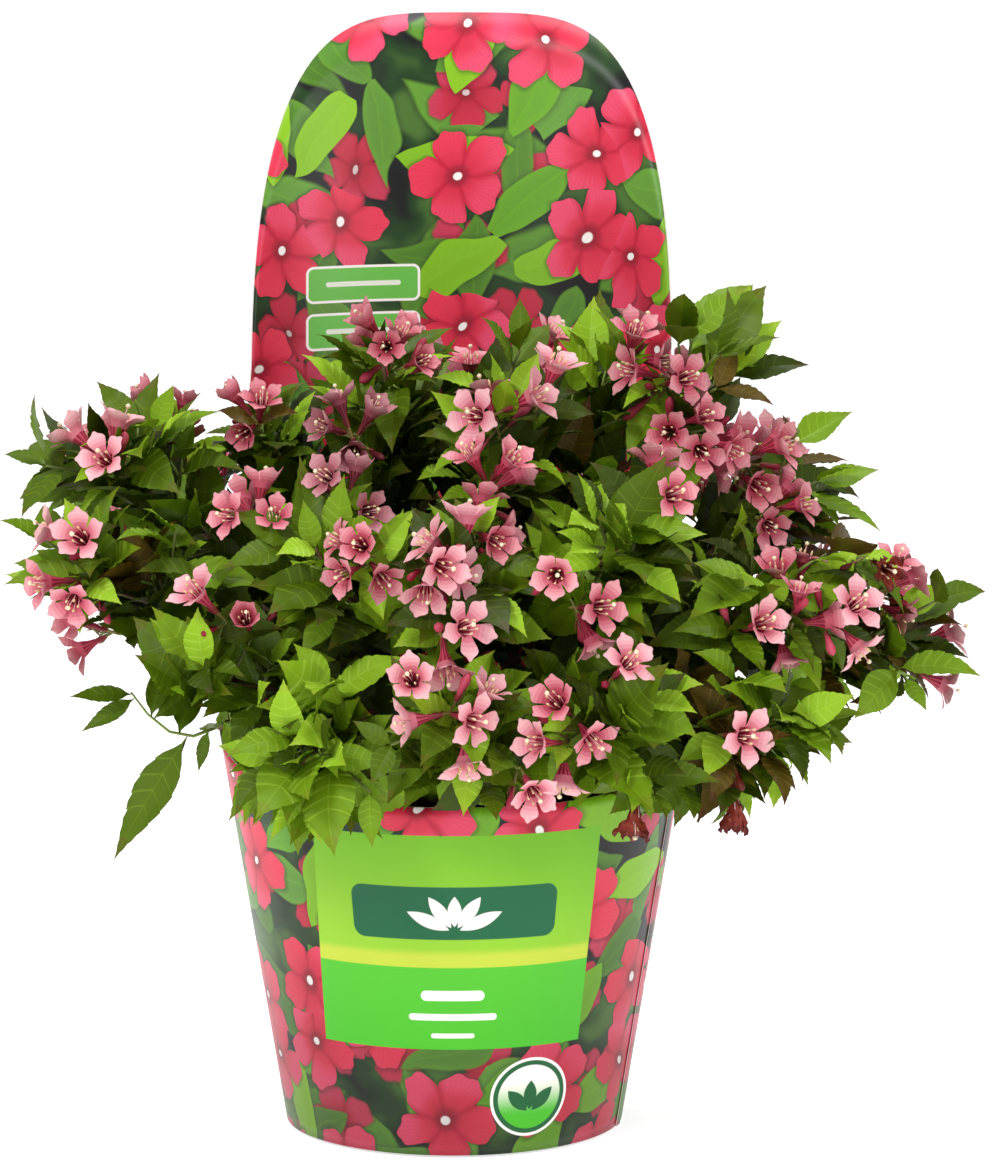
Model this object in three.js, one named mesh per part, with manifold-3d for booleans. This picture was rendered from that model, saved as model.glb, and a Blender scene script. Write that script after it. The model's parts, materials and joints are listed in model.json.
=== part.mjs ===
// A dwarf weigela in flower, in its nursery pot with a printed card sleeve whose tall arched header stands
// up behind the plant. Millimetres, +Z up. The origin is the centre of the pot's flat underside, +X is to
// the right and -Y towards the viewer, so the header is at +Y.
//
// The shrub is a short stool on the potting mix, boughs that fork from it, and one mass of twigs, leaves and
// blossom past the tip of each bough. Every mass keeps to its own cell of the crown.
import * as THREE from 'three';
import { mergeVertices } from 'three/addons/utils/BufferGeometryUtils.js';
import Module from 'manifold-3d';

const wasm = await Module();
wasm.setup();

// ---------------------------------------------------------------- driving dimensions, in mm
const sleeveFoot = 87.6; // outer radius of the card sleeve at ground level
const sleeveFlare = 0.165; // growth of that radius for each mm of height
const sleeveHem = 1.5; // the card starts this far above the ground
const cardThickness = 0.8;
const rimHeight = 188; // top edge of the sleeve at the front
const rimSweep = 22; // the edge climbs this much from the front to the sides
const headerTop = 567.5; // top of the arched header
const headerShoulder = 385; // where the header's straight sides turn into the arch
const headerHalfWidth = 112;
const headerSideLean = 0.06; // the header's half width loses this much for each mm of height
const sleeveTurn = THREE.MathUtils.degToRad(1.8);
const seamAngle = 74; // degrees from the front to the glued seam, on the right
const seamWidth = 9;
const seamProud = 1.1; // the seam's outer face stands this far off the card
const seamDrop = 1; // and its top this far below the card's edge
// Columns of the sleeve in degrees from the front, closer together where its edge climbs.
const frontColumns = Array.from({ length: 12 }, (_, i) => i * 7.5);
const sideColumns = [
  90, 96, 101, 106, 111, 116, 121, 126, 130, 133.5, 137, 141, 145, 149, 153, 157, 162, 167, 173.5,
];

const potFit = 0.6; // play between the pot's lip and the card
const potLipHeight = 180;
const potLipDepth = 12;
const potLipWidth = 4;
const potWall = 2;
const potFloor = 3;
const potSides = 36;
const mixTop = 167; // potting mix at the pot's wall
const mixMound = 4; // and this much higher at the middle
const gap = 0.35; // clearance between two pieces that touch

const stoolFoot = 19; // radius of the flared foot of the shrub
const stoolWaist = 13;
const stoolHeight = 30;
const stoolSides = 24;
const boughSides = 5;
const boughSteps = 4;
const boughFoot = 2.92; // radius where a main bough leaves the stool
const forkFoot = 2.38; // and at most where a bough leaves another bough
const forkShare = 0.8; // of its parent's radius there
const forkLean = 0.6; // of a fork's first direction, along its parent
const boughTip = 1.7; // radius where a bough meets its mass
const stemFoot = 2.4; // radius of a mass's own stem at its foot
const stemTip = 1.7;
const twigFoot = 1.6;
const twigTip = 1.2;

const leafLength = 66;
const leafWidth = 0.44; // as a share of the length
const leafThickness = 1.4;
const rootDepth = 0.05; // how far past its twig's centre line a leaf or flower is rooted
const bloomLength = 30;
// A flower's points, as shares of its length: how far along it, and how far out.
const bloomThroat = 0.55;
const bloomNotch = [0.66, 0.23];
const bloomLobe = [0.94, 0.5];
const firstSeed = 101; // of the masses' random numbers, one more for each mass
const cellMargin = 0.3; // each mass stays this far inside its cell
const shortestEdge = 0.008; // of a fused mass
const lowestFace = 0.002; // height of the thinnest face of a fused mass
const mostShared = 0.1; // mm3 that two fused pieces may share, which only their roots do

// How a mass branches. Shares of a length come first, then degrees, each with the play of its random part.
const branching = {
  bow: 8, // mm
  twigLength: 0.62, // of the mass's reach, for a twig at its stem's foot
  twigLoss: 0.24, // less this at the stem's tip
  twigPlay: [0.8, 0.35],
  twigBend: 0.55, // of its length
  twigRise: 0.07,
  twigLift: 0.15,
  headingPlay: 0.8, // radians
  twigLean: [56, 14],
  bloomLean: [50, 12],
  tipLeafLean: [42, 16],
  leafLean: 58,
  leafSize: [0.88, 0.24],
  innerLeaves: 0.45,
  stemEnds: [[0.97, 32], [0.9, 44]], // places of the last two pairs on the stem, and their leans
};

// ---------------------------------------------------------------- the crown, in mm
// One row for each mass: where its stem starts and ends, how far it reaches from the stem, how many pairs
// of side twigs it has, how much its leaves hang, if they do, and what its bough grows from: the stool, or
// another bough at a share of its length.
const masses = {
  leftCrest: { foot: [-108, -14, 296], tip: [-176, -30, 350], reach: 54, pairs: 3, from: 'upperLeft', at: 0.55 },
  leftEdge: { foot: [-108, -40, 264], tip: [-182, -60, 292], reach: 50, pairs: 3, from: 'stool' },
  leftFlank: { foot: [-84, -70, 240], tip: [-134, -112, 248], reach: 46, pairs: 2, from: 'leftEdge', at: 0.45 },
  upperLeft: { foot: [-68, 6, 300], tip: [-98, 0, 358], reach: 46, pairs: 2, from: 'stool' },
  topLeft: { foot: [-24, 6, 318], tip: [-36, 2, 396], reach: 48, pairs: 3, from: 'stool' },
  innerLeft: { foot: [-40, -54, 272], tip: [-68, -112, 318], reach: 48, pairs: 3, from: 'topLeft', at: 0.35 },
  topCentre: { foot: [14, -18, 312], tip: [28, -28, 378], reach: 48, pairs: 3, from: 'stool' },
  centre: { foot: [2, -60, 268], tip: [6, -126, 306], reach: 50, pairs: 3, from: 'topCentre', at: 0.45 },
  topRight: { foot: [58, 2, 318], tip: [76, 4, 388], reach: 50, pairs: 3, from: 'stool' },
  crestRight: { foot: [96, -2, 318], tip: [134, -4, 396], reach: 52, pairs: 3, from: 'topRight', at: 0.6 },
  shoulderRight: { foot: [116, -8, 284], tip: [174, -18, 338], reach: 50, pairs: 3, from: 'stool' },
  centreRight: { foot: [54, -52, 274], tip: [86, -112, 322], reach: 48, pairs: 3, from: 'topRight', at: 0.35 },
  right: { foot: [110, -44, 262], tip: [180, -76, 290], reach: 50, pairs: 3, from: 'shoulderRight', at: 0.6 },
  farRight: { foot: [142, -4, 246], tip: [230, -18, 256], reach: 56, pairs: 3, from: 'shoulderRight', at: 0.4 },
  rightLow: {
    foot: [98, -62, 226], tip: [160, -98, 214], reach: 58, pairs: 3, droop: 0.5, from: 'frontRight', at: 0.45,
  },
  frontRight: { foot: [58, -84, 236], tip: [86, -142, 232], reach: 46, pairs: 3, from: 'stool' },
  frontCentre: { foot: [2, -84, 228], tip: [4, -142, 234], reach: 46, pairs: 3, from: 'stool' },
  frontLeft: {
    foot: [-50, -82, 226], tip: [-74, -138, 214], reach: 48, pairs: 3, droop: 0.3, from: 'frontCentre', at: 0.5,
  },
  strayShoot: {
    foot: [-122, -24, 212], tip: [-168, -38, 202], reach: 70, pairs: 1, droop: 1.1, from: 'backLeft', at: 0.3,
  },
  backLeft: { foot: [-108, 40, 270], tip: [-158, 88, 310], reach: 54, pairs: 3, from: 'stool' },
  backRight: { foot: [116, 40, 270], tip: [168, 88, 312], reach: 54, pairs: 3, from: 'stool' },
  backCentre: { foot: [4, 46, 290], tip: [6, 66, 352], reach: 50, pairs: 3, from: 'stool' },
  backLeftLow: { foot: [-122, 16, 238], tip: [-146, 68, 240], reach: 44, pairs: 2, from: 'backLeft', at: 0.5 },
  backRightLow: { foot: [128, 16, 238], tip: [176, 60, 234], reach: 48, pairs: 2, from: 'backRight', at: 0.5 },
};

// Clusters of blossom: the middle of each cluster and its number of flowers.
const clusters = [
  [-186, -62, 352, 3], [-150, -5, 376, 2], [-190, -92, 306, 2], [-104, -26, 372, 3], [-118, -96, 300, 2],
  [-60, -50, 366, 3], [-60, -104, 346, 3], [-33, -12, 420, 3], [26, -52, 398, 3], [50, -60, 366, 1],
  [12, -120, 338, 3], [-30, -140, 320, 2], [92, -18, 416, 2], [118, -30, 398, 3], [146, -36, 378, 3],
  [108, -122, 338, 2], [-118, -136, 270, 2], [-24, -162, 252, 2], [0, -168, 240, 2], [76, -168, 254, 1],
  [58, -168, 224, 2], [160, -100, 276, 1], [182, -106, 296, 3], [212, -56, 282, 3], [140, -138, 222, 1],
  [186, -48, 348, 2], [246, 6, 262, 2], [-176, 108, 322, 3], [-128, 84, 334, 2], [-206, 74, 250, 2],
  [188, 108, 324, 3], [138, 84, 334, 2], [214, 84, 248, 2], [10, 84, 384, 2],
];

// ---------------------------------------------------------------- helpers
const vec = (a) => new THREE.Vector3(...a);
const up = new THREE.Vector3(0, 0, 1);
const crownHeart = new THREE.Vector3(0, 0, 250); // leaves and flowers face away from here

// The same stream of numbers from 0 to 1 for the same seed.
function randomFrom(seed) {
  let state = seed >>> 0;
  return () => {
    state = (state + 0x6d2b79f5) >>> 0;
    let t = Math.imul(state ^ (state >>> 15), 1 | state);
    t = (t + Math.imul(t ^ (t >>> 7), 61 | t)) ^ t;
    return ((t ^ (t >>> 14)) >>> 0) / 4294967296;
  };
}

function closedGeometry(points, faces) {
  const geometry = new THREE.BufferGeometry();
  const numbers = points.flatMap((p) => [p.x, p.y, p.z]);
  geometry.setAttribute('position', new THREE.Float32BufferAttribute(numbers, 3));
  geometry.setIndex(faces.flat());
  return geometry;
}

function solidOf(geometry) {
  const bare = geometry.clone();
  bare.deleteAttribute('normal');
  bare.deleteAttribute('uv');
  const merged = mergeVertices(bare, 1e-4);
  const mesh = new wasm.Mesh({
    numProp: 3,
    vertProperties: new Float32Array(merged.attributes.position.array),
    triVerts: new Uint32Array(merged.index.array),
  });
  return new wasm.Manifold(mesh);
}

// Whether a solid has an edge or a face that is too fine.
function hasSlivers(solid) {
  const { numProp, vertProperties, triVerts } = solid.getMesh();
  const triangle = new THREE.Triangle();
  const { a, b, c } = triangle;
  for (let i = 0; i < triVerts.length; i += 3) {
    [a, b, c].forEach((p, k) => p.fromArray(vertProperties, triVerts[i + k] * numProp));
    const edges = [a.distanceTo(b), b.distanceTo(c), c.distanceTo(a)];
    const height = (2 * triangle.getArea()) / Math.max(...edges);
    if (Math.min(...edges) < shortestEdge || height < lowestFace) return true;
  }
  return false;
}

function geometryOf(solid) {
  const { numProp, vertProperties, triVerts } = solid.getMesh();
  const count = vertProperties.length / numProp;
  const position = new Float32Array(count * 3);
  for (let i = 0; i < count; i++) position.set(vertProperties.subarray(i * numProp, i * numProp + 3), i * 3);
  const geometry = new THREE.BufferGeometry();
  geometry.setAttribute('position', new THREE.BufferAttribute(position, 3));
  geometry.setIndex(new THREE.BufferAttribute(new Uint32Array(triVerts), 1));
  return geometry;
}

function namedMesh(name, geometry, material) {
  const mesh = new THREE.Mesh(geometry, material);
  mesh.name = name;
  return mesh;
}

// A tapering limb along a row of points: flat at its foot, and flat or pointed at its tip. Its rings are
// square to the headings, or to the chord past each point where there are none, and one of its edges starts
// on the side that it faces.
function limbGeometry(path, radii, sides, { pointed = false, headings, facing } = {}) {
  const points = [];
  const faces = [];
  let across = facing ?? new THREE.Vector3(0.31, 0.77, 0.55);
  path.forEach((p, i) => {
    const before = path[Math.max(0, i - 1)];
    const after = path[Math.min(path.length - 1, i + 1)];
    const along = headings ? headings[i] : after.clone().sub(before).normalize();
    across = across.clone().addScaledVector(along, -across.dot(along)).normalize();
    const other = along.clone().cross(across);
    for (let k = 0; k < sides; k++) {
      const turn = (2 * Math.PI * k) / sides;
      const out = across.clone().multiplyScalar(Math.cos(turn)).addScaledVector(other, Math.sin(turn));
      points.push(p.clone().addScaledVector(out, radii[i]));
    }
  });
  const rings = pointed ? path.length - 1 : path.length;
  if (pointed) points.splice(rings * sides, sides, path[path.length - 1].clone());
  for (let i = 0; i + 1 < rings; i++) {
    for (let k = 0; k < sides; k++) {
      const next = (k + 1) % sides;
      const [a, b] = [i * sides + k, i * sides + next];
      faces.push([a, b, b + sides], [a, b + sides, a + sides]);
    }
  }
  const last = (rings - 1) * sides;
  for (let k = 1; k + 1 < sides; k++) {
    faces.push([0, k + 1, k]);
    if (!pointed) faces.push([last, last + k, last + k + 1]);
  }
  if (pointed) {
    for (let k = 0; k < sides; k++) faces.push([last + k, last + ((k + 1) % sides), rings * sides]);
  }
  return closedGeometry(points, faces);
}

// ---------------------------------------------------------------- sleeve and pot
const sleeveRadius = (z) => sleeveFoot + sleeveFlare * z;

// Half the header's width at a height: straight sides that lean in, then an arch with a nearly flat top.
function headerHalfWidthAt(z) {
  if (z <= headerShoulder) return headerHalfWidth + (headerShoulder - z) * headerSideLean;
  const rise = Math.min(1, (z - headerShoulder) / (headerTop - headerShoulder));
  return headerHalfWidth * (1 - rise ** 2.4) ** 0.25;
}

// Height of the card's top edge at an angle from the front, in degrees.
function cardEdge(degrees) {
  const fromFront = Math.abs(((degrees + 540) % 360) - 180);
  if (fromFront <= 90) return rimHeight + rimSweep * Math.max(0, (fromFront - 20) / 70) ** 2.2;
  const share = Math.sin(THREE.MathUtils.degToRad(180 - fromFront));
  let [low, high] = [rimHeight + rimSweep, headerTop];
  for (let i = 0; i < 40; i++) {
    const middle = (low + high) / 2;
    if (headerHalfWidthAt(middle) / sleeveRadius(middle) > share) low = middle;
    else high = middle;
  }
  return low;
}

function sleeveGeometry() {
  const half = [...frontColumns, ...sideColumns];
  const columns = [...half, 180, ...half.slice(1).reverse().map((a) => 360 - a)];
  const points = [];
  for (const degrees of columns) {
    const a = THREE.MathUtils.degToRad(degrees);
    const top = cardEdge(degrees);
    for (const [z, inset] of [[sleeveHem, 0], [top, 0], [top, cardThickness], [sleeveHem, cardThickness]]) {
      const r = sleeveRadius(z) - inset;
      points.push(new THREE.Vector3(r * Math.sin(a), -r * Math.cos(a), z));
    }
  }
  const faces = [];
  columns.forEach((_, i) => {
    const j = (i + 1) % columns.length;
    for (let k = 0; k < 4; k++) {
      const [a, b, c, d] = [i * 4 + k, j * 4 + k, j * 4 + ((k + 1) % 4), i * 4 + ((k + 1) % 4)];
      faces.push([a, b, c], [a, c, d]);
    }
  });
  return closedGeometry(points, faces);
}

// The strip where the card's end is glued over its start.
function seamGeometry() {
  const points = [];
  const faces = [];
  const turn = THREE.MathUtils.radToDeg(seamWidth / sleeveRadius(rimHeight / 2));
  const columns = [seamAngle, seamAngle + turn / 2, seamAngle + turn];
  for (const degrees of columns) {
    const a = THREE.MathUtils.degToRad(degrees);
    const top = cardEdge(degrees) - seamDrop;
    for (const [z, proud] of [[sleeveHem, seamProud], [top, seamProud], [top, gap], [sleeveHem, gap]]) {
      const r = sleeveRadius(z) + proud;
      points.push(new THREE.Vector3(r * Math.sin(a), -r * Math.cos(a), z));
    }
  }
  for (let i = 0; i + 1 < columns.length; i++) {
    for (let k = 0; k < 4; k++) {
      const [a, d] = [i * 4 + k, i * 4 + ((k + 1) % 4)];
      faces.push([a, a + 4, d + 4], [a, d + 4, d]);
    }
  }
  const last = (columns.length - 1) * 4;
  faces.push([0, 1, 2], [0, 2, 3], [last, last + 2, last + 1], [last, last + 3, last + 2]);
  return closedGeometry(points, faces);
}

const potOuter = (z) => sleeveRadius(z) - cardThickness - potFit - potLipWidth;

function potGeometry() {
  const lipFoot = potLipHeight - potLipDepth;
  const lip = (z) => potOuter(z) + potLipWidth;
  const profile = [
    [0, 0], [potOuter(0), 0], [potOuter(lipFoot), lipFoot], [lip(lipFoot), lipFoot],
    [lip(potLipHeight), potLipHeight], [potOuter(potLipHeight) - potWall, potLipHeight],
    [potOuter(potFloor) - potWall, potFloor], [0, potFloor],
  ].map(([r, z]) => new THREE.Vector2(r, z));
  return new THREE.LatheGeometry(profile, potSides).rotateX(Math.PI / 2);
}

function mixGeometry() {
  const inner = (z) => potOuter(z) - potWall - gap;
  const base = potFloor + gap;
  const profile = [
    [0, base], [inner(base), base], [inner(mixTop), mixTop],
    [inner(mixTop) * 0.72, mixTop + mixMound * 0.55], [inner(mixTop) * 0.36, mixTop + mixMound],
    [0, mixTop + mixMound],
  ].map(([r, z]) => new THREE.Vector2(r, z));
  return new THREE.LatheGeometry(profile, potSides).rotateX(Math.PI / 2);
}

// ---------------------------------------------------------------- stool and boughs
const stoolBase = mixTop + mixMound + gap;

// The stool's outline, as shares of its height and radii: a flared foot, a waist and a rounded head.
const stoolOutline = [
  [0, stoolFoot], [0.22, stoolWaist * 1.1], [0.5, stoolWaist], [0.8, stoolWaist * 0.86], [1, stoolWaist * 0.45],
];

function stoolRadius(share) {
  const i = Math.max(0, stoolOutline.findLastIndex(([at]) => at <= share));
  const [[low, from], [high, to]] = [stoolOutline[i], stoolOutline[Math.min(i + 1, stoolOutline.length - 1)]];
  return high > low ? THREE.MathUtils.mapLinear(share, low, high, from, to) : from;
}

function stoolGeometry() {
  const outline = stoolOutline.map(([share, r]) => new THREE.Vector2(r, stoolBase + share * stoolHeight));
  const foot = new THREE.Vector2(0, stoolBase);
  const head = new THREE.Vector2(0, stoolBase + stoolHeight);
  return new THREE.LatheGeometry([foot, ...outline, head], stoolSides).rotateX(Math.PI / 2);
}

// Each bough as { path, radii, facing, headings }. A main bough leaves the stool's side, and a fork its
// parent's side.
const boughs = {};

// The main boughs stand evenly round the stool, in the order of the masses they carry.
const bearing = (name) => Math.atan2(masses[name].foot[1], masses[name].foot[0]);
const mainBoughs = Object.keys(masses).filter((name) => masses[name].from === 'stool')
  .sort((a, b) => bearing(a) - bearing(b));
const bearingStep = (2 * Math.PI) / mainBoughs.length;
const offsets = mainBoughs.map((name, i) => bearing(name) - i * bearingStep);
const firstBearing = offsets.reduce((sum, offset) => sum + offset, 0) / mainBoughs.length;

function growBough(name) {
  if (boughs[name]) return boughs[name];
  const { foot, tip, from, at } = masses[name];
  const stem = vec(tip).sub(vec(foot)).normalize();
  const end = vec(foot).addScaledVector(stem, -gap);
  let start;
  let startRadius;
  let leave;
  let facing; // towards what carries it
  if (from === 'stool') {
    const turn = firstBearing + mainBoughs.indexOf(name) * bearingStep;
    const out = new THREE.Vector3(Math.cos(turn), Math.sin(turn), 0);
    const steep = THREE.MathUtils.clamp((end.z - 225) / 100, 0, 1); // tall boughs leave nearer the stool's top
    const rise = 0.35 + 0.3 * steep;
    startRadius = boughFoot;
    leave = out.clone().multiplyScalar(0.9 - 0.55 * steep).addScaledVector(up, 0.5 + 0.7 * steep).normalize();
    facing = out.clone().negate();
    start = out.clone().multiplyScalar(stoolRadius(rise) + startRadius * leave.z + gap)
      .setZ(stoolBase + stoolHeight * rise - startRadius * Math.hypot(leave.x, leave.y));
  } else {
    const parent = growBough(from);
    const place = at * (parent.path.length - 1);
    const i = Math.floor(place);
    const share = place - i;
    const axis = parent.path[i].clone().lerp(parent.path[i + 1], share);
    const parentRadius = THREE.MathUtils.lerp(parent.radii[i], parent.radii[i + 1], share);
    const along = parent.path[i + 1].clone().sub(parent.path[i]).normalize();
    startRadius = Math.min(parentRadius * forkShare, forkFoot);
    const away = end.clone().sub(axis);
    away.addScaledVector(along, -away.dot(along)).normalize();
    leave = away.clone().multiplyScalar(Math.sqrt(1 - forkLean ** 2)).addScaledVector(along, forkLean);
    facing = away.clone().negate();
    start = axis.addScaledVector(away, parentRadius + startRadius * forkLean + gap);
  }
  const length = start.distanceTo(end);
  const curve = new THREE.CubicBezierCurve3(
    start,
    start.clone().addScaledVector(leave, length * 0.36),
    end.clone().addScaledVector(stem, -length * 0.3),
    end,
  );
  const path = curve.getPoints(boughSteps);
  const radii = path.map((_, i) => THREE.MathUtils.lerp(startRadius, boughTip, i / boughSteps));
  boughs[name] = { path, radii, facing, headings: path.map((_, i) => curve.getTangent(i / boughSteps)) };
  return boughs[name];
}
for (const name of Object.keys(masses)) growBough(name);

// ---------------------------------------------------------------- the space of each mass
const cells = Object.entries(masses).map(([name, mass]) => ({
  name,
  reach: mass.reach,
  stem: new THREE.Line3(vec(mass.foot), vec(mass.tip)),
}));
const nearest = new THREE.Vector3();
const distanceTo = (line, p) => line.closestPointToPoint(p, true, nearest).distanceTo(p);

// A mass holds what is nearer to its own stem than to any other, out to its reach.
function inCell(p, cell) {
  const own = distanceTo(cell.stem, p);
  const least = own + 2 * cellMargin;
  return own < cell.reach && cells.every((other) => other === cell || distanceTo(other.stem, p) > least);
}

// -1 inside the card's cone, 1 outside it, 0 too near the card or the pot, and null above the card's edge.
function sideOfCard(p) {
  const degrees = THREE.MathUtils.radToDeg(Math.atan2(p.x, -p.y) + sleeveTurn);
  if (p.z > headerTop + 3) return null;
  if (p.z > Math.max(...[-5, 0, 5].map((turn) => cardEdge(degrees + turn))) + 3) return null;
  const off = Math.hypot(p.x, p.y) - sleeveRadius(p.z);
  if (off > 3) return 1;
  if (off < -3 && p.z > potLipHeight + 3) return -1;
  return 0;
}

const boughPieces = Object.entries(boughs).flatMap(([name, { path, radii }]) => path.slice(1)
  .map((end, i) => ({ name, line: new THREE.Line3(path[i], end), radius: radii[i] })));

function clearOfBoughs(samples, own) {
  return boughPieces.every(({ name, line, radius }) => {
    const keep = radius + (name === own ? 0.4 : 1.6);
    return samples.every((p) => distanceTo(line, p) > keep);
  });
}

// Whether a piece with these samples over its surface may stand in the mass.
function mayStand(samples, cell) {
  if (!samples.every((p) => inCell(p, cell))) return false;
  const sides = samples.map(sideOfCard).filter((s) => s !== null);
  if (sides.includes(0) || (sides.includes(1) && sides.includes(-1))) return false;
  return clearOfBoughs(samples, cell.name);
}

// ---------------------------------------------------------------- leaves, flowers and twigs
function leafCorners(root, direction, size) {
  const out = root.clone().sub(crownHeart).normalize();
  const lean = up.clone().multiplyScalar(1.1).add(out);
  const normal = lean.addScaledVector(direction, -lean.dot(direction)).normalize();
  const side = direction.clone().cross(normal);
  const at = (along, across, lift) => root.clone().addScaledVector(direction, along * size)
    .addScaledVector(side, across * size).addScaledVector(normal, lift);
  return [
    at(0, 0, 0), at(0.46, leafWidth / 2, size * 0.03), at(0.46, -leafWidth / 2, size * 0.03),
    at(0.13, 0, leafThickness / 2), at(0.13, 0, -leafThickness / 2), at(1, 0, -size * 0.1),
  ];
}
const leafFaces = [[0, 1, 3], [0, 3, 2], [3, 1, 5], [3, 5, 2], [0, 4, 1], [0, 2, 4], [4, 5, 1], [4, 2, 5]];

// Two directions at right angles to an axis and to each other.
function frameOf(axis) {
  const guide = Math.abs(axis.z) < 0.9 ? up : vec([1, 0, 0]);
  const across = axis.clone().cross(guide).normalize();
  return [across, axis.clone().cross(across)];
}

// A funnel with five spreading lobes: its root, the bottom of its throat, and a notch and a lobe tip in turn.
function bloomCorners(root, direction, size) {
  const [across, other] = frameOf(direction);
  const at = (along, out, turn) => root.clone().addScaledVector(direction, along * size)
    .addScaledVector(across, Math.cos(turn) * out * size).addScaledVector(other, Math.sin(turn) * out * size);
  const mouth = Array.from({ length: 10 }, (_, k) => (
    at(...(k % 2 ? bloomLobe : bloomNotch), (Math.PI * k) / 5)));
  return [at(0, 0, 0), at(bloomThroat, 0, 0), ...mouth];
}
const bloomFaces = Array.from({ length: 5 }, (_, k) => {
  const [notch, lobe, next] = [2 + 2 * k, 3 + 2 * k, 2 + ((2 * k + 2) % 10)];
  return [[0, next, notch], [notch, next, lobe], [1, notch, lobe], [1, lobe, next]];
}).flat();

// Points over each face of a piece, close enough together that nothing passes between them.
function samplesOver(corners, faces) {
  const steps = 5;
  return faces.flatMap(([a, b, c]) => {
    const found = [];
    for (let i = 0; i <= steps; i++) {
      for (let j = 0; i + j <= steps; j++) {
        found.push(new THREE.Vector3().addScaledVector(corners[a], i / steps)
          .addScaledVector(corners[b], j / steps).addScaledVector(corners[c], (steps - i - j) / steps));
      }
    }
    return found;
  });
}

// Turns a direction away from an axis, towards a heading round it.
function branchOff(axis, heading, degrees) {
  const [across, other] = frameOf(axis);
  const a = THREE.MathUtils.degToRad(degrees);
  return axis.clone().multiplyScalar(Math.cos(a)).addScaledVector(across, Math.sin(a) * Math.cos(heading))
    .addScaledVector(other, Math.sin(a) * Math.sin(heading));
}

// What is tried in turn for a piece that finds no room: mm along its twig, and for a leaf also its size and
// how far it turns and leans, in radians and degrees.
const nudges = [0, 0.7, -0.7, 1.5, -1.5];
const leafSizes = [1, 0.86, 0.74];
const leafTurns = [
  [0, 0], [0.15, 4], [-0.15, -4], [0.5, -8], [-0.5, -8], [0.9, 8], [-0.9, 8], [0.3, -22], [-0.3, -22],
];

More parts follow.
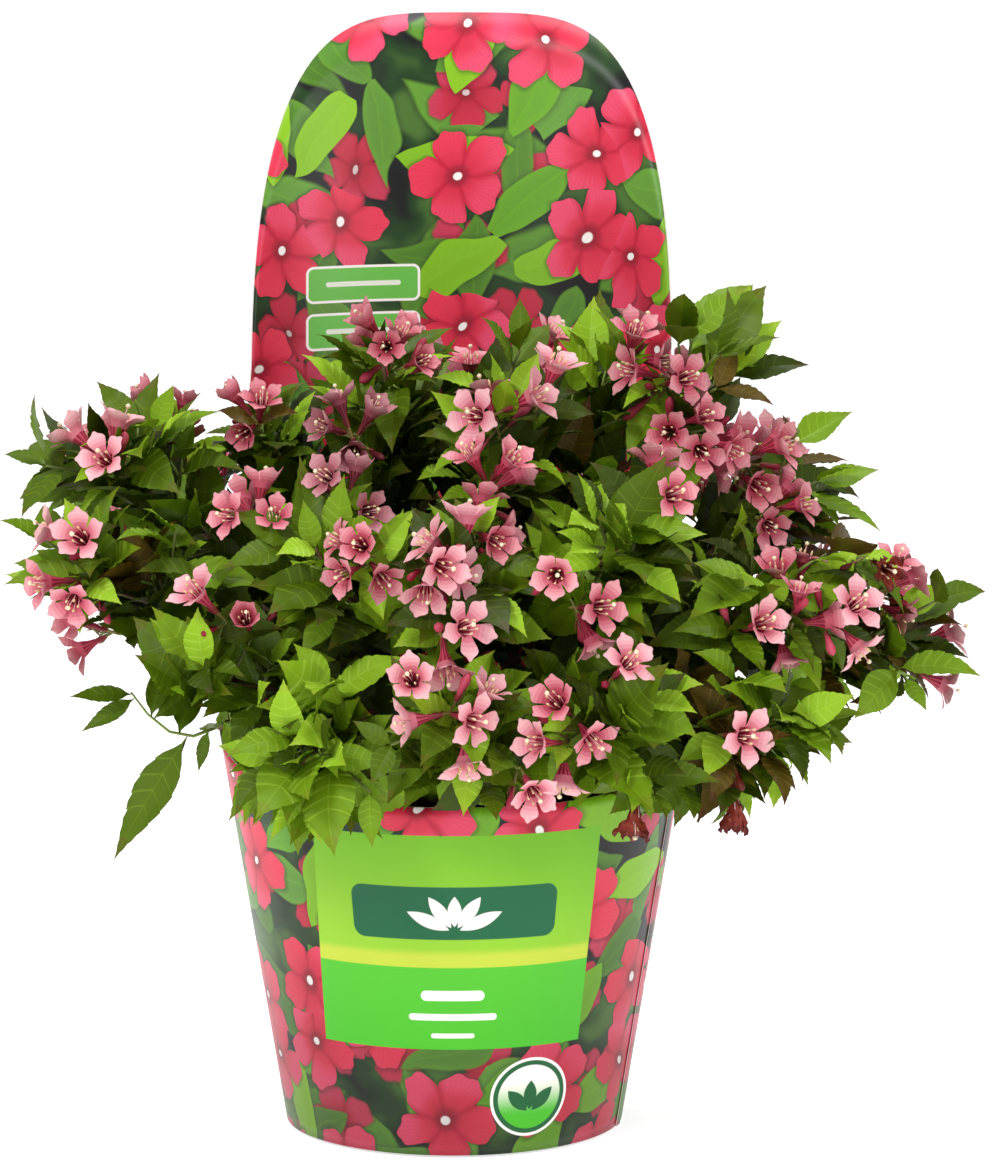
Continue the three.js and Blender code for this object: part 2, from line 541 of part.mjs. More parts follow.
function growMass(cell, seed) {
  const { pairs, reach, droop = 0 } = masses[cell.name];
  const random = randomFrom(seed);
  const along = cell.stem.delta(new THREE.Vector3()).normalize();
  const bow = vec([random() - 0.5, random() - 0.5, random() * 0.6]).multiplyScalar(branching.bow);
  const stemAt = (t) => cell.stem.at(t, new THREE.Vector3()).addScaledVector(bow, Math.sin(Math.PI * t));
  const stemPath = [0, 0.25, 0.5, 0.75, 1].map(stemAt);
  const stemRadii = stemPath.map((_, i) => THREE.MathUtils.lerp(stemFoot, stemTip, i / 4));
  const stemHeadings = stemPath.map(() => along);
  let whole = solidOf(limbGeometry(stemPath, stemRadii, 3, { pointed: true, headings: stemHeadings }));
  const fused = [];
  const playOf = ([least, play]) => least + play * random();

  // Fuses a piece to the mass, unless it runs into another piece or leaves a sliver.
  const fuse = (geometry) => {
    const solid = solidOf(geometry);
    if (fused.some((other) => solid.intersect(other).volume() > mostShared)) return false;
    const joined = whole.add(solid);
    if (hasSlivers(joined)) return false;
    whole = joined;
    fused.push(solid);
    return true;
  };
  const add = (corners, faces) => (
    mayStand(samplesOver(corners, faces), cell) && fuse(closedGeometry(corners, faces)));
  const growTwig = (start, end) => {
    const samples = Array.from({ length: 9 }, (_, i) => start.clone().lerp(end, 0.2 + i * 0.1));
    const bend = start.clone().lerp(end, branching.twigBend)
      .addScaledVector(up, start.distanceTo(end) * branching.twigRise);
    const radii = [twigFoot, twigFoot * 0.8, twigTip];
    return mayStand([bend, ...samples], cell) && nudges.some((nudge) => {
      const path = [start.clone().addScaledVector(along, nudge), bend, end];
      return fuse(limbGeometry(path, radii, 3, { pointed: true }));
    });
  };
  const growLeaf = (point, axis, heading, degrees) => {
    const size = leafLength * playOf(branching.leafSize);
    for (const share of leafSizes) {
      for (const [turn, lean] of leafTurns) {
        const direction = branchOff(axis, heading + turn, degrees + lean)
          .addScaledVector(up, -droop).normalize();
        const nudge = nudges[Math.floor(random() * nudges.length)];
        const root = point.clone().addScaledVector(direction, -rootDepth).addScaledVector(axis, nudge);
        if (add(leafCorners(root, direction, size * share), leafFaces)) return;
      }
    }
  };
  const growPair = (point, axis, heading, degrees) => {
    growLeaf(point, axis, heading, degrees);
    growLeaf(point, axis, heading + Math.PI, degrees);
  };

  // Flowering twigs come first, so that blossom stands where the crown carries it.
  for (const [x, y, z, count] of clusters) {
    const middle = vec([x, y, z]);
    if (!inCell(middle, cell)) continue;
    const share = cell.stem.closestPointToPointParameter(middle, true);
    const start = stemAt(THREE.MathUtils.clamp(share - 0.2, 0.15, 0.8));
    const facing = middle.clone().sub(start).normalize()
      .add(middle.clone().sub(crownHeart).normalize()).addScaledVector(up, 0.2).normalize();
    const end = middle.clone().addScaledVector(facing, -bloomLength * 0.6);
    if (!growTwig(start, end)) continue;
    const turn = random() * Math.PI;
    for (let k = 0; k < count; k++) {
      const aside = playOf(branching.bloomLean);
      const direction = count === 1 ? facing : branchOff(facing, turn + (2 * Math.PI * k) / count, aside);
      nudges.some((nudge) => {
        const root = end.clone().addScaledVector(facing, nudge - 3 - k);
        return add(bloomCorners(root, direction, bloomLength), bloomFaces);
      });
    }
  }
  // Pairs of side twigs, each pair a quarter turn on from the last, with a pair of leaves at each node.
  for (let k = 0; k < pairs; k++) {
    const t = (k + 0.5) / pairs;
    const axis = stemAt(Math.min(1, t + 0.05)).sub(stemAt(t - 0.05)).normalize();
    const heading = (Math.PI / 2) * k + random() * branching.headingPlay;
    for (const turn of [0, Math.PI]) {
      const length = reach * (branching.twigLength - branching.twigLoss * t) * playOf(branching.twigPlay);
      const direction = branchOff(axis, heading + turn, playOf(branching.twigLean))
        .addScaledVector(up, branching.twigLift).normalize();
      const end = stemAt(t).addScaledVector(direction, length);
      if (!growTwig(stemAt(t), end)) continue;
      const tipLeaves = end.clone().addScaledVector(direction, -twigTip * 2);
      growPair(tipLeaves, direction, random() * Math.PI, playOf(branching.tipLeafLean));
      const innerLeaves = stemAt(t).addScaledVector(direction, length * branching.innerLeaves);
      growPair(innerLeaves, direction, random() * Math.PI, branching.leafLean);
    }
    growPair(stemAt(t), axis, heading + Math.PI / 2, branching.leafLean);
  }
  const last = random() * Math.PI;
  branching.stemEnds.forEach(([t, lean], i) => growPair(stemAt(t), along, last + (i * Math.PI) / 2, lean));

  return geometryOf(whole.decompose().sort((a, b) => b.volume() - a.volume())[0]);
}

// ---------------------------------------------------------------- materials and assembly
const finish = (name, color, roughness, metalness = 0) => {
  const material = new THREE.MeshStandardMaterial({ color, roughness, metalness });
  material.name = name;
  return material;
};
const blackPlastic = finish('pot plastic', 0x1c1d1e, 0.45);
const printedCard = finish('printed card', 0x8fc63c, 0.35);
const peat = finish('potting mix', 0x2b1d14, 0.95);
const bark = finish('bark', 0x6b5138, 0.85);
const foliage = finish('foliage', 0x3f7a24, 0.5);

const weigela = new THREE.Group();
weigela.add(namedMesh('pot', potGeometry(), blackPlastic));
weigela.add(namedMesh('potting_mix', mixGeometry(), peat));
const wrap = new THREE.Group();
wrap.rotation.z = -sleeveTurn;
wrap.add(namedMesh('sleeve', sleeveGeometry(), printedCard));
wrap.add(namedMesh('sleeve_seam', seamGeometry(), printedCard));
weigela.add(wrap);
weigela.add(namedMesh('stool', stoolGeometry(), bark));
for (const [name, { path, radii, facing, headings }] of Object.entries(boughs)) {
  weigela.add(namedMesh('bough_' + name, limbGeometry(path, radii, boughSides, { facing, headings }), bark));
}
cells.forEach((cell, i) => {
  weigela.add(namedMesh('mass_' + cell.name, growMass(cell, firstSeed + i), foliage));
});

export default weigela;
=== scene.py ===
import json
import math
import random

import bmesh
import bpy
import numpy as np
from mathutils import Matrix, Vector, noise

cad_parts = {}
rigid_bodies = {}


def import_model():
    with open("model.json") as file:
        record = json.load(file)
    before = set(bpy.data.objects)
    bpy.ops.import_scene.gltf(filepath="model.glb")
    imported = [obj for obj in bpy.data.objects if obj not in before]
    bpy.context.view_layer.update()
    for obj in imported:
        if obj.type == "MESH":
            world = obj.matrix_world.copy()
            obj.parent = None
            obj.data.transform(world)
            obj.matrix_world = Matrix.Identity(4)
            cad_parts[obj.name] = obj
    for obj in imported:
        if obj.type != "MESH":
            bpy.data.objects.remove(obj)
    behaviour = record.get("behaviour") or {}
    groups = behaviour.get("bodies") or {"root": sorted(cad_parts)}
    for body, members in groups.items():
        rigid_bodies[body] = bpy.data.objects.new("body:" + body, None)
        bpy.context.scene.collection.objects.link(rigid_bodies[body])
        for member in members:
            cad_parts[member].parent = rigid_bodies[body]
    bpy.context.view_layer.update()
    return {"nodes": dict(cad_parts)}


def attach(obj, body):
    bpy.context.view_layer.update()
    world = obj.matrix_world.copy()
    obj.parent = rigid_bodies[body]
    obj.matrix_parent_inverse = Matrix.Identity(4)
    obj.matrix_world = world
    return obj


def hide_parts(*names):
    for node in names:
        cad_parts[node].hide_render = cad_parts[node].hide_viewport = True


# A dwarf weigela in flower in its nursery pot, inside a printed card sleeve with a tall arched header.
# Sizes are in millimetres until a mesh is made, and colours go from 0 to 255. The origin is the middle
# of the pot's underside, the viewer is at -Y and the header at +Y.

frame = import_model()
mm = 0.001
fullTurn = 2 * math.pi
perDegree = math.pi / 180
up = np.array([0.0, 0.0, 1.0])
print("frame loaded with", len(frame["nodes"]), "nodes")


# shader tools

def linearColour(colour):
    shares = [value / 255 for value in colour]
    return (*[s / 12.92 if s <= 0.04045 else ((s + 0.055) / 1.055) ** 2.4 for s in shares], 1.0)


class Wire:
    # one output of a node, which takes part in sums
    def __init__(self, finish, socket):
        self.finish, self.socket = finish, socket

    def __add__(self, other): return self.finish.sum("ADD", self, other)
    def __radd__(self, other): return self.finish.sum("ADD", other, self)
    def __sub__(self, other): return self.finish.sum("SUBTRACT", self, other)
    def __rsub__(self, other): return self.finish.sum("SUBTRACT", other, self)
    def __mul__(self, other): return self.finish.sum("MULTIPLY", self, other)
    def __rmul__(self, other): return self.finish.sum("MULTIPLY", other, self)
    def __truediv__(self, other): return self.finish.sum("DIVIDE", self, other)
    def __pow__(self, other): return self.finish.sum("POWER", self, other)
    def __neg__(self): return self * -1.0

    def output(self, name):
        return Wire(self.finish, self.socket.node.outputs[name])


class Finish:
    # a material with one Principled surface, whose own sockets are set by name
    def __init__(self, name, **values):
        self.material = bpy.data.materials.new(name)
        self.material.use_nodes = True
        self.tree = self.material.node_tree
        self.tree.nodes.clear()
        self.surface = self.tree.nodes.new("ShaderNodeBsdfPrincipled")
        out = self.tree.nodes.new("ShaderNodeOutputMaterial")
        self.tree.links.new(self.surface.outputs[0], out.inputs[0])
        self.wear(**values)

    def wear(self, **values):
        for name, value in values.items():
            self.feed(self.surface, name.replace("_", " "), value)
        return self.material

    def feed(self, node, key, value):
        if isinstance(value, Wire):
            self.tree.links.new(value.socket, node.inputs[key])
        elif node.inputs[key].type == "RGBA":
            node.inputs[key].default_value = linearColour(value)
        else:
            node.inputs[key].default_value = value

    def add(self, kind, settings, inputs, output=0):
        node = self.tree.nodes.new("ShaderNode" + kind)
        for name, value in settings.items():
            setattr(node, name, value)
        for key, value in inputs.items():
            self.feed(node, key, value)
        return Wire(self, node.outputs[output])

    def sum(self, operation, *values):
        return self.add("Math", {"operation": operation}, dict(enumerate(values)))

    def vectorSum(self, operation, a, b, key=1):
        return self.add("VectorMath", {"operation": operation}, {0: a, key: b})

    def smaller(self, a, b): return self.sum("MINIMUM", a, b)
    def larger(self, a, b): return self.sum("MAXIMUM", a, b)
    def size(self, a): return self.sum("ABSOLUTE", a)
    def length(self, a, b): return (a * a + b * b) ** 0.5

    def step(self, value, edge, soft):
        # 0 below the edge and 1 above it, over a soft width
        return self.add("MapRange", {"interpolation_type": "SMOOTHSTEP"}, {
            "Value": value, "From Min": edge - soft / 2, "From Max": edge + soft / 2})

    def mix(self, share, a, b):
        return self.add("Mix", {"data_type": "RGBA"}, {0: share, 6: a, 7: b}, 2)

    def lay(self, under, inside, over, soft=0.6):
        # one colour over another where inside is above 0
        return self.mix(self.step(inside, 0.0, soft), under, over)

    def parts(self, vector):
        split = self.add("SeparateXYZ", {}, {0: vector})
        return split.output("X"), split.output("Y"), split.output("Z")

    def place(self):
        # Object coordinates, in millimetres
        return self.vectorSum("SCALE", self.add("TexCoord", {}, {}).output("Object"), 1000.0, "Scale")

    def grain(self, at, scale, detail):
        return self.add("TexNoise", {}, {"Vector": at, "Scale": scale, "Detail": detail})

    def bump(self, height, strength, distance):
        self.wear(Normal=self.add("Bump", {}, {
            "Strength": strength, "Distance": distance * mm, "Height": height}))


def plainFinish(name, colour, roughness, **values):
    return Finish(name, Base_Color=colour, Roughness=roughness, **values).material


# mesh tools

class Gathered:
    # points and faces of many stamped forms, with a material number for each face
    def __init__(self):
        self.points, self.faces, self.tints, self.count = [], [], [], 0

    def add(self, points, faces, tints):
        self.points.append(points)
        self.faces.extend([tuple(self.count + i for i in face) for face in faces])
        self.tints.extend(tints)
        self.count += len(points)

    def form(self):
        return np.concatenate(self.points), self.faces, self.tints


def newObject(name, data):
    item = bpy.data.objects.new(name, data)
    bpy.context.scene.collection.objects.link(item)
    return item


def shapedObject(name, form, materials, smooth=True):
    # a bmesh or gathered forms in millimetres as an object in metres
    mesh = bpy.data.meshes.new(name)
    if isinstance(form, Gathered):
        points, faces, tints = form.form()
        mesh.from_pydata((points * mm).tolist(), [], faces)
        mesh.polygons.foreach_set("material_index", tints)
    else:
        bmesh.ops.scale(form, vec=(mm, mm, mm), verts=form.verts)
        form.to_mesh(mesh)
        form.free()
    for material in materials:
        mesh.materials.append(material)
    mesh.polygons.foreach_set("use_smooth", [smooth] * len(mesh.polygons))
    mesh.update()
    return newObject(name, mesh)


def newPiece(name, form, materials, slotName, *replacedNodes, smooth=True):
    piece = shapedObject(name, form, materials, smooth)
    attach(piece, "root")
    if replacedNodes:
        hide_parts(*replacedNodes)
    return piece


def giveWall(piece, thickness):
    # a wall inwards from the face, with its own materials inside and on its rim
    wall = piece.modifiers.new("wall", "SOLIDIFY")
    wall.thickness = thickness * mm
    wall.offset = -1
    wall.material_offset = 2
    wall.material_offset_rim = 1


def spunForm(profile, sides):
    # a closed solid spun from a profile of (radius, height) that starts and ends on the axis
    form = bmesh.new()
    points = [form.verts.new((r, 0, z)) for r, z in profile]
    edges = [form.edges.new(pair) for pair in zip(points, points[1:])]
    bmesh.ops.spin(form, geom=points + edges, cent=(0, 0, 0), axis=(0, 0, 1), angle=fullTurn,
                   steps=sides, use_merge=True)
    bmesh.ops.remove_doubles(form, verts=form.verts, dist=1e-4)
    bmesh.ops.recalc_face_normals(form, faces=form.faces)
    return form


def unit(v):
    return v / max(1e-9, np.linalg.norm(v))


def square(v, axis):
    # the part of v that is square to axis, at length 1
    return unit(v - axis * np.dot(v, axis))


def lerp(a, b, share):
    return a + (b - a) * share


def spread(steps):
    return np.linspace(0, 1, steps + 1)


def level(turn, z=0.0):
    return np.array([math.cos(turn), math.sin(turn), z])


# camera, stage and lights

camera = {
    "spot": (23.9, -2993.0, 747.5),
    "pitch": 0.154,  # radians below the horizon
    "focalPixels": 5853.4,
    "frameHeight": 1168,
    "sensor": 36.0,
}
shot = bpy.data.cameras.new("shot")
shot.sensor_width = camera["sensor"]
shot.lens = camera["focalPixels"] * camera["sensor"] / camera["frameHeight"]
shot.clip_end = 100
shotObject = newObject("shot", shot)
shotObject.location = [v * mm for v in camera["spot"]]
shotObject.rotation_euler = (math.pi / 2 - camera["pitch"], 0, 0)
bpy.context.scene.camera = shotObject

studio = {
    "floorRadius": 40000.0,
    "floorColour": (232, 232, 232),
    "floorGlow": 0.68,
    "skyStrength": 0.5,
    "aim": (0, 0, 280),
    # where each light stands, its size and its power
    "lights": {
        "key": ((-1300, -1700, 2000), 800, 34),
        "fill": ((1700, -1400, 1200), 900, 12),
        "top": ((200, 300, 2300), 900, 22),
    },
}


def buildStage():
    form = bmesh.new()
    bmesh.ops.create_circle(form, cap_ends=True, segments=96, radius=studio["floorRadius"])
    bmesh.ops.recalc_face_normals(form, faces=form.faces)
    if next(iter(form.faces)).normal.z < 0:
        bmesh.ops.reverse_faces(form, faces=form.faces)
    pale = plainFinish("stage_pale", studio["floorColour"], 0.9, Emission_Color=(255, 255, 255),
                       Emission_Strength=studio["floorGlow"])
    shapedObject("stage_floor", form, [pale])
    for name, (spot, size, power) in studio["lights"].items():
        lamp = bpy.data.lights.new(name, "AREA")
        lamp.shape = "DISK"
        lamp.size = size * mm
        lamp.energy = power
        lampObject = newObject(name, lamp)
        lampObject.location = Vector(spot) * mm
        aim = Vector(studio["aim"]) - Vector(spot)
        lampObject.rotation_euler = aim.to_track_quat("-Z", "Y").to_euler()
    world = bpy.data.worlds.new("studio")
    world.use_nodes = True
    sky = world.node_tree.nodes["Background"].inputs
    sky["Color"].default_value = (1, 1, 1, 1)
    sky["Strength"].default_value = studio["skyStrength"]
    bpy.context.scene.world = world
    bpy.context.scene.view_settings.view_transform = "Standard"


buildStage()
print("stage, lights and camera set")


# the card sleeve

card = {
    "foot": 87.6,  # outer radius at ground level
    "flare": 0.165,
    "hem": 1.5,
    "thickness": 0.8,
    "rim": 188.0,
    "sweep": 22.0,  # rise of the rim from the front to the sides
    "sweepFrom": 20,  # degrees from the front where it begins
    "sweepPower": 2.2,
    "top": 567.5,
    "shoulder": 385.0,
    "halfWidth": 112.0,
    "sideLean": 0.06,
    "arch": (2.4, 0.25),  # powers that round the header's top
    "turn": 1.8,  # degrees
    "seam": 74.0,
    "lapWidth": 9.0,
    "lapProud": 0.45,
    "lapClear": 0.35,
    "columns": 260,
    "rows": 30,
}


def cardRadius(z):
    return card["foot"] + card["flare"] * z


def headerHalfWidth(z):
    if z <= card["shoulder"]:
        return card["halfWidth"] + (card["shoulder"] - z) * card["sideLean"]
    rise = min(1.0, (z - card["shoulder"]) / (card["top"] - card["shoulder"]))
    return card["halfWidth"] * max(0.0, 1 - rise ** card["arch"][0]) ** card["arch"][1]


def cardEdge(degrees):
    # height of the card's top edge at an angle from its front
    fromFront = abs((degrees + 540) % 360 - 180)
    if fromFront <= 90:
        rise = max(0.0, (fromFront - card["sweepFrom"]) / (90 - card["sweepFrom"]))
        return card["rim"] + card["sweep"] * rise ** card["sweepPower"]
    share = math.sin(math.radians(180 - fromFront))
    low, high = card["rim"] + card["sweep"], card["top"]
    for _ in range(40):
        middle = (low + high) / 2
        if headerHalfWidth(middle) / cardRadius(middle) > share:
            low = middle
        else:
            high = middle
    return low


def onCard(degrees, z, proud):
    turned = math.radians(degrees - card["turn"])
    r = cardRadius(z) + proud
    return (r * math.sin(turned), -r * math.cos(turned), z)


coneApex = -card["foot"] / card["flare"]
coneLean = math.atan(card["flare"])


def onFlatCard(degrees, z):
    # the same point on the card before it was rolled up, with the header upright at the middle
    slant = (z - coneApex) / math.cos(coneLean)
    fan = math.radians(degrees - 180) * math.sin(coneLean)
    return (slant * math.sin(fan), slant * math.cos(fan))


def edgeColumns():
    # columns from the seam round to the seam again, closer together where the edge climbs
    fine = [card["seam"] + i * 0.1 for i in range(3601)]
    along = math.radians(0.1) * 2.5 * cardRadius(200)
    travelled = [0.0]
    for before, after in zip(fine, fine[1:]):
        travelled.append(travelled[-1] + math.hypot(along, cardEdge(after) - cardEdge(before)))
    return np.interp(np.linspace(0, travelled[-1], card["columns"] + 1), travelled, fine)


def cardSheet(columns, low, high, rows, proud=0.0):
    # a grid bent onto the cone, with its flat place kept as the UV map
    form = bmesh.new()
    bmesh.ops.create_grid(form, x_segments=len(columns) - 1, y_segments=rows, size=0.5)
    layer = form.loops.layers.uv.new("flat")
    flat = {}
    for vert in form.verts:
        degrees = float(columns[round((vert.co.x + 0.5) * (len(columns) - 1))])
        z = lerp(low, high(degrees), vert.co.y + 0.5)
        flat[vert.index] = onFlatCard(degrees, z)
        vert.co = onCard(degrees, z, proud)
    form.verts.index_update()
    for face in form.faces:
        for loop in face.loops:
            loop[layer].uv = flat[loop.vert.index]
    first = next(iter(form.faces))
    first.normal_update()
    middle = first.calc_center_median()
    if first.normal.dot(Vector((middle.x, middle.y, 0))) < 0:
        bmesh.ops.reverse_faces(form, faces=form.faces)
    return form


# the generic print: round five-petalled blossoms over pointed leaves on a soft dark ground

printed = {
    # size of each scattered cell, shift of its grid, share of cells that are filled, and softness
    "leafLayers": ((64.0, 0.0, 0.85, 0.05), (52.0, 3.7, 0.8, 0.03), (58.0, 8.3, 0.75, 0.012)),
    "leafHalf": 0.56,  # of its cell
    "leafWidth": 0.2,
    "blossomLayers": ((44.0, 5.1, 0.5, 0.06), (56.0, 1.3, 0.8, 0.014)),
    "blossomRadius": 0.47,
    "warp": 7.0,
    "crimson": (190, 16, 52),
    "rose": (232, 56, 84),
    "magenta": (240, 84, 122),
    "white": (252, 244, 240),
    "backLeaf": ((34, 84, 34), (88, 146, 62)),
    "frontLeaf": ((72, 142, 34), (140, 196, 26)),
    "ground": ((16, 16, 16), (30, 62, 24), (74, 112, 44)),
    "paintedShade": (0.5, 0.94),  # painted shade: brightness of the print at the foot and on the header
    "labelTop": ((112, 182, 24), (146, 200, 44)),
    "labelBand": (190, 206, 60),
    "labelLow": ((70, 182, 34), (110, 206, 60)),
    "plate": (12, 96, 58),
    "ring": (16, 92, 48),
    "tab": (104, 186, 72),
}


def scattered(finish, flat, size, shift, randomness):
    # place inside a cell of a scattered grid, turned by the cell's own angle, and two of its numbers
    x, y, _ = finish.parts(flat)
    scaled = finish.add("CombineXYZ", {}, {"X": x / size + shift, "Y": y / size - shift, "Z": 0.0})
    cell = finish.add("TexVoronoi", {"voronoi_dimensions": "2D"}, {
        "Vector": scaled, "Scale": 1.0, "Randomness": randomness})
    ax, ay, _ = finish.parts(finish.vectorSum("SUBTRACT", scaled, cell.output("Position")))
    numbers = finish.add("SeparateColor", {}, {0: cell.output("Color")})
    turn = numbers.output("Red") * fullTurn
    cosine, sine = finish.sum("COSINE", turn), finish.sum("SINE", turn)
    return (ax * cosine + ay * sine, ay * cosine - ax * sine,
            numbers.output("Green"), numbers.output("Blue"))


def printedLeaf(finish, colour, flat, layer, greens):
    size, shift, filled, soft = layer
    lx, ly, two, three = scattered(finish, flat, size, shift, 0.8)
    along = lx / printed["leafHalf"]
    inside = (1 - along * along) * (1 - 0.3 * along) * printed["leafWidth"] - finish.size(ly)
    tint = finish.mix(two, *greens)
    pale = finish.mix(0.3, tint, printed["frontLeaf"][1])
    dark = finish.mix(0.45, tint, printed["ground"][0])
    bands = finish.sum("SINE", (lx - finish.size(ly) * 0.9) * 58.0) * 0.5 + 0.5
    blade = finish.mix(finish.step(ly, 0.0, 0.02), tint, finish.mix(0.35, tint, dark))
    blade = finish.mix(bands * 0.22, blade, dark)
    blade = finish.mix(finish.step(inside, 0.05, 0.1) * 0.3, pale, blade)
    blade = finish.mix(finish.step(finish.size(ly), 0.009, 0.01), pale, blade)
    there = 1 - finish.step(three, filled, 0.01)
    colour = finish.mix(finish.step(inside, -0.03, 0.08) * there * 0.35, colour, printed["ground"][0])
    return finish.mix(finish.step(inside, 0.0, soft) * there, colour, blade)


def printedBlossom(finish, colour, flat, layer, depth):
    size, shift, filled, soft = layer
    crimson, rose, magenta, white = [printed[n] for n in ("crimson", "rose", "magenta", "white")]
    dark = printed["ground"][0]
    bx, by, two, three = scattered(finish, flat, size, shift, 0.6)
    out = finish.length(bx, by)
    turn = finish.sum("ARCTAN2", by, bx)
    lobe = finish.size(finish.sum("COSINE", turn * 2.5))
    ruffle = finish.sum("SINE", turn * 17.0) * 0.012
    inside = printed["blossomRadius"] * (0.52 + 0.48 * lobe ** 0.55) + ruffle - out
    petal = finish.mix(finish.step(out, 0.12, 0.5), crimson, rose)
    petal = finish.mix(finish.step(out + bx * 0.5, 0.34, 0.24) * (0.35 + two * 0.5), petal, magenta)
    petal = finish.mix((1 - finish.step(lobe, 0.3, 0.6)) * 0.75, petal, crimson)
    veins = finish.sum("SINE", turn * 60.0) * 0.5 + 0.5
    petal = finish.mix(veins * finish.step(out, 0.1, 0.1) * 0.13, petal, crimson)
    petal = finish.mix((1 - finish.step(out, 0.1, 0.1)) * 0.8, petal, finish.mix(0.5, crimson, dark))
    petal = finish.mix(1 - finish.step(out, 0.04, 0.014), petal, white)
    petal = finish.mix(depth, petal, finish.mix(0.55, crimson, dark))
    there = 1 - finish.step(three, filled, 0.01)
    colour = finish.mix(finish.step(inside, -0.03, 0.07) * there * 0.5, colour, dark)
    return finish.mix(finish.step(inside, 0.0, soft) * there, colour, petal)


def printedPattern(finish):
    plain = finish.add("UVMap", {"uv_map": "flat"}, {})
    cloud = finish.grain(plain, 0.03, 1.0).output("Color")
    swirl = finish.vectorSum("SUBTRACT", cloud, (0.5, 0.5, 0.5))
    swirl = finish.vectorSum("SCALE", swirl, printed["warp"] * 2, "Scale")
    flat = finish.vectorSum("ADD", plain, swirl)
    mottle = finish.grain(flat, 0.024, 2.0)
    low, middle, high = printed["ground"]
    colour = finish.mix(finish.step(mottle, 0.44, 0.12), low, middle)
    colour = finish.mix(finish.step(mottle, 0.58, 0.16), colour, high)
    leafBack, leafMiddle, leafFront = printed["leafLayers"]
    blossomBack, blossomFront = printed["blossomLayers"]
    colour = printedLeaf(finish, colour, flat, leafBack, printed["backLeaf"])
    colour = printedBlossom(finish, colour, flat, blossomBack, 0.45)
    colour = printedLeaf(finish, colour, flat, leafMiddle, printed["backLeaf"])
    colour = printedLeaf(finish, colour, flat, leafFront, printed["frontLeaf"])
    colour = printedBlossom(finish, colour, flat, blossomFront, 0.0)
    # painted shade: the print is darkened from the header down towards the card's foot
    x, y, z = finish.parts(finish.place())
    low, high = printed["paintedShade"]
    return finish.mix(1 - (low + (high - low) * finish.step(z, 90.0, 240.0)), colour, (0, 0, 0))


label = {
    "low": 59.1, "split": 103.0, "top": 173.1, "band": 8.0,
    "left": (-41.8, -37.3), "right": (40.9, 40.2),  # degrees at its foot and top
    "plate": (-27.5, 28.5, 118.0, 146.0, 6.0),  # left and right in degrees, low, high and corner
    "sprig": (-1.15, -0.6, 0.0, 0.6, 1.15),  # lean of each leaf on the plate
    "bars": ((88.0, 5.5, 17.0), (76.5, 3.6, 24.0), (66.5, 2.6, 12.0)),  # height, thickness, half length
}
seal = {
    "angle": 25.0, "height": 31.5, "radius": 21.5, "ring": 20.0, "inner": 17.4, "sprig": (-0.75, 0.0, 0.75),
}
tabs = {
    "left": -80.1, "right": -19.2, "heights": (414.0, 389.0), "tall": 19.6, "corner": 4.0, "line": 1.3,
    "bar": (20.0, 2.6),  # half length and thickness of a pale bar in each
}


def boxInside(finish, x, y, left, right, low, high, corner):
    # how far a point is inside a box with round corners
    dx = finish.size(x - (left + right) / 2) - ((right - left) / 2 - corner)
    dy = finish.size(y - (low + high) / 2) - ((high - low) / 2 - corner)
    beyond = finish.length(finish.larger(dx, 0.0), finish.larger(dy, 0.0))
    return corner - beyond - finish.smaller(finish.larger(dx, dy), 0.0)


def barInside(finish, x, y, middle, height, half, thick):
    return boxInside(finish, x, y, middle - half, middle + half, height - thick / 2,
                     height + thick / 2, thick / 2)


def petalInside(finish, x, y, lean, near, far, half):
    # how far a point is inside a lens that points away from the origin, leaning from upright
    c, s = math.cos(lean), math.sin(lean)
    along = (x * s + y * c - (near + far) / 2) / ((far - near) / 2)
    return (1 - along * along) * half - finish.size(x * c - y * s)


def cardFace(name):
    finish = Finish(name, Roughness=0.38, Specular_IOR_Level=0.3)
    return finish, printedPattern(finish), printed["white"], *finish.parts(finish.place())


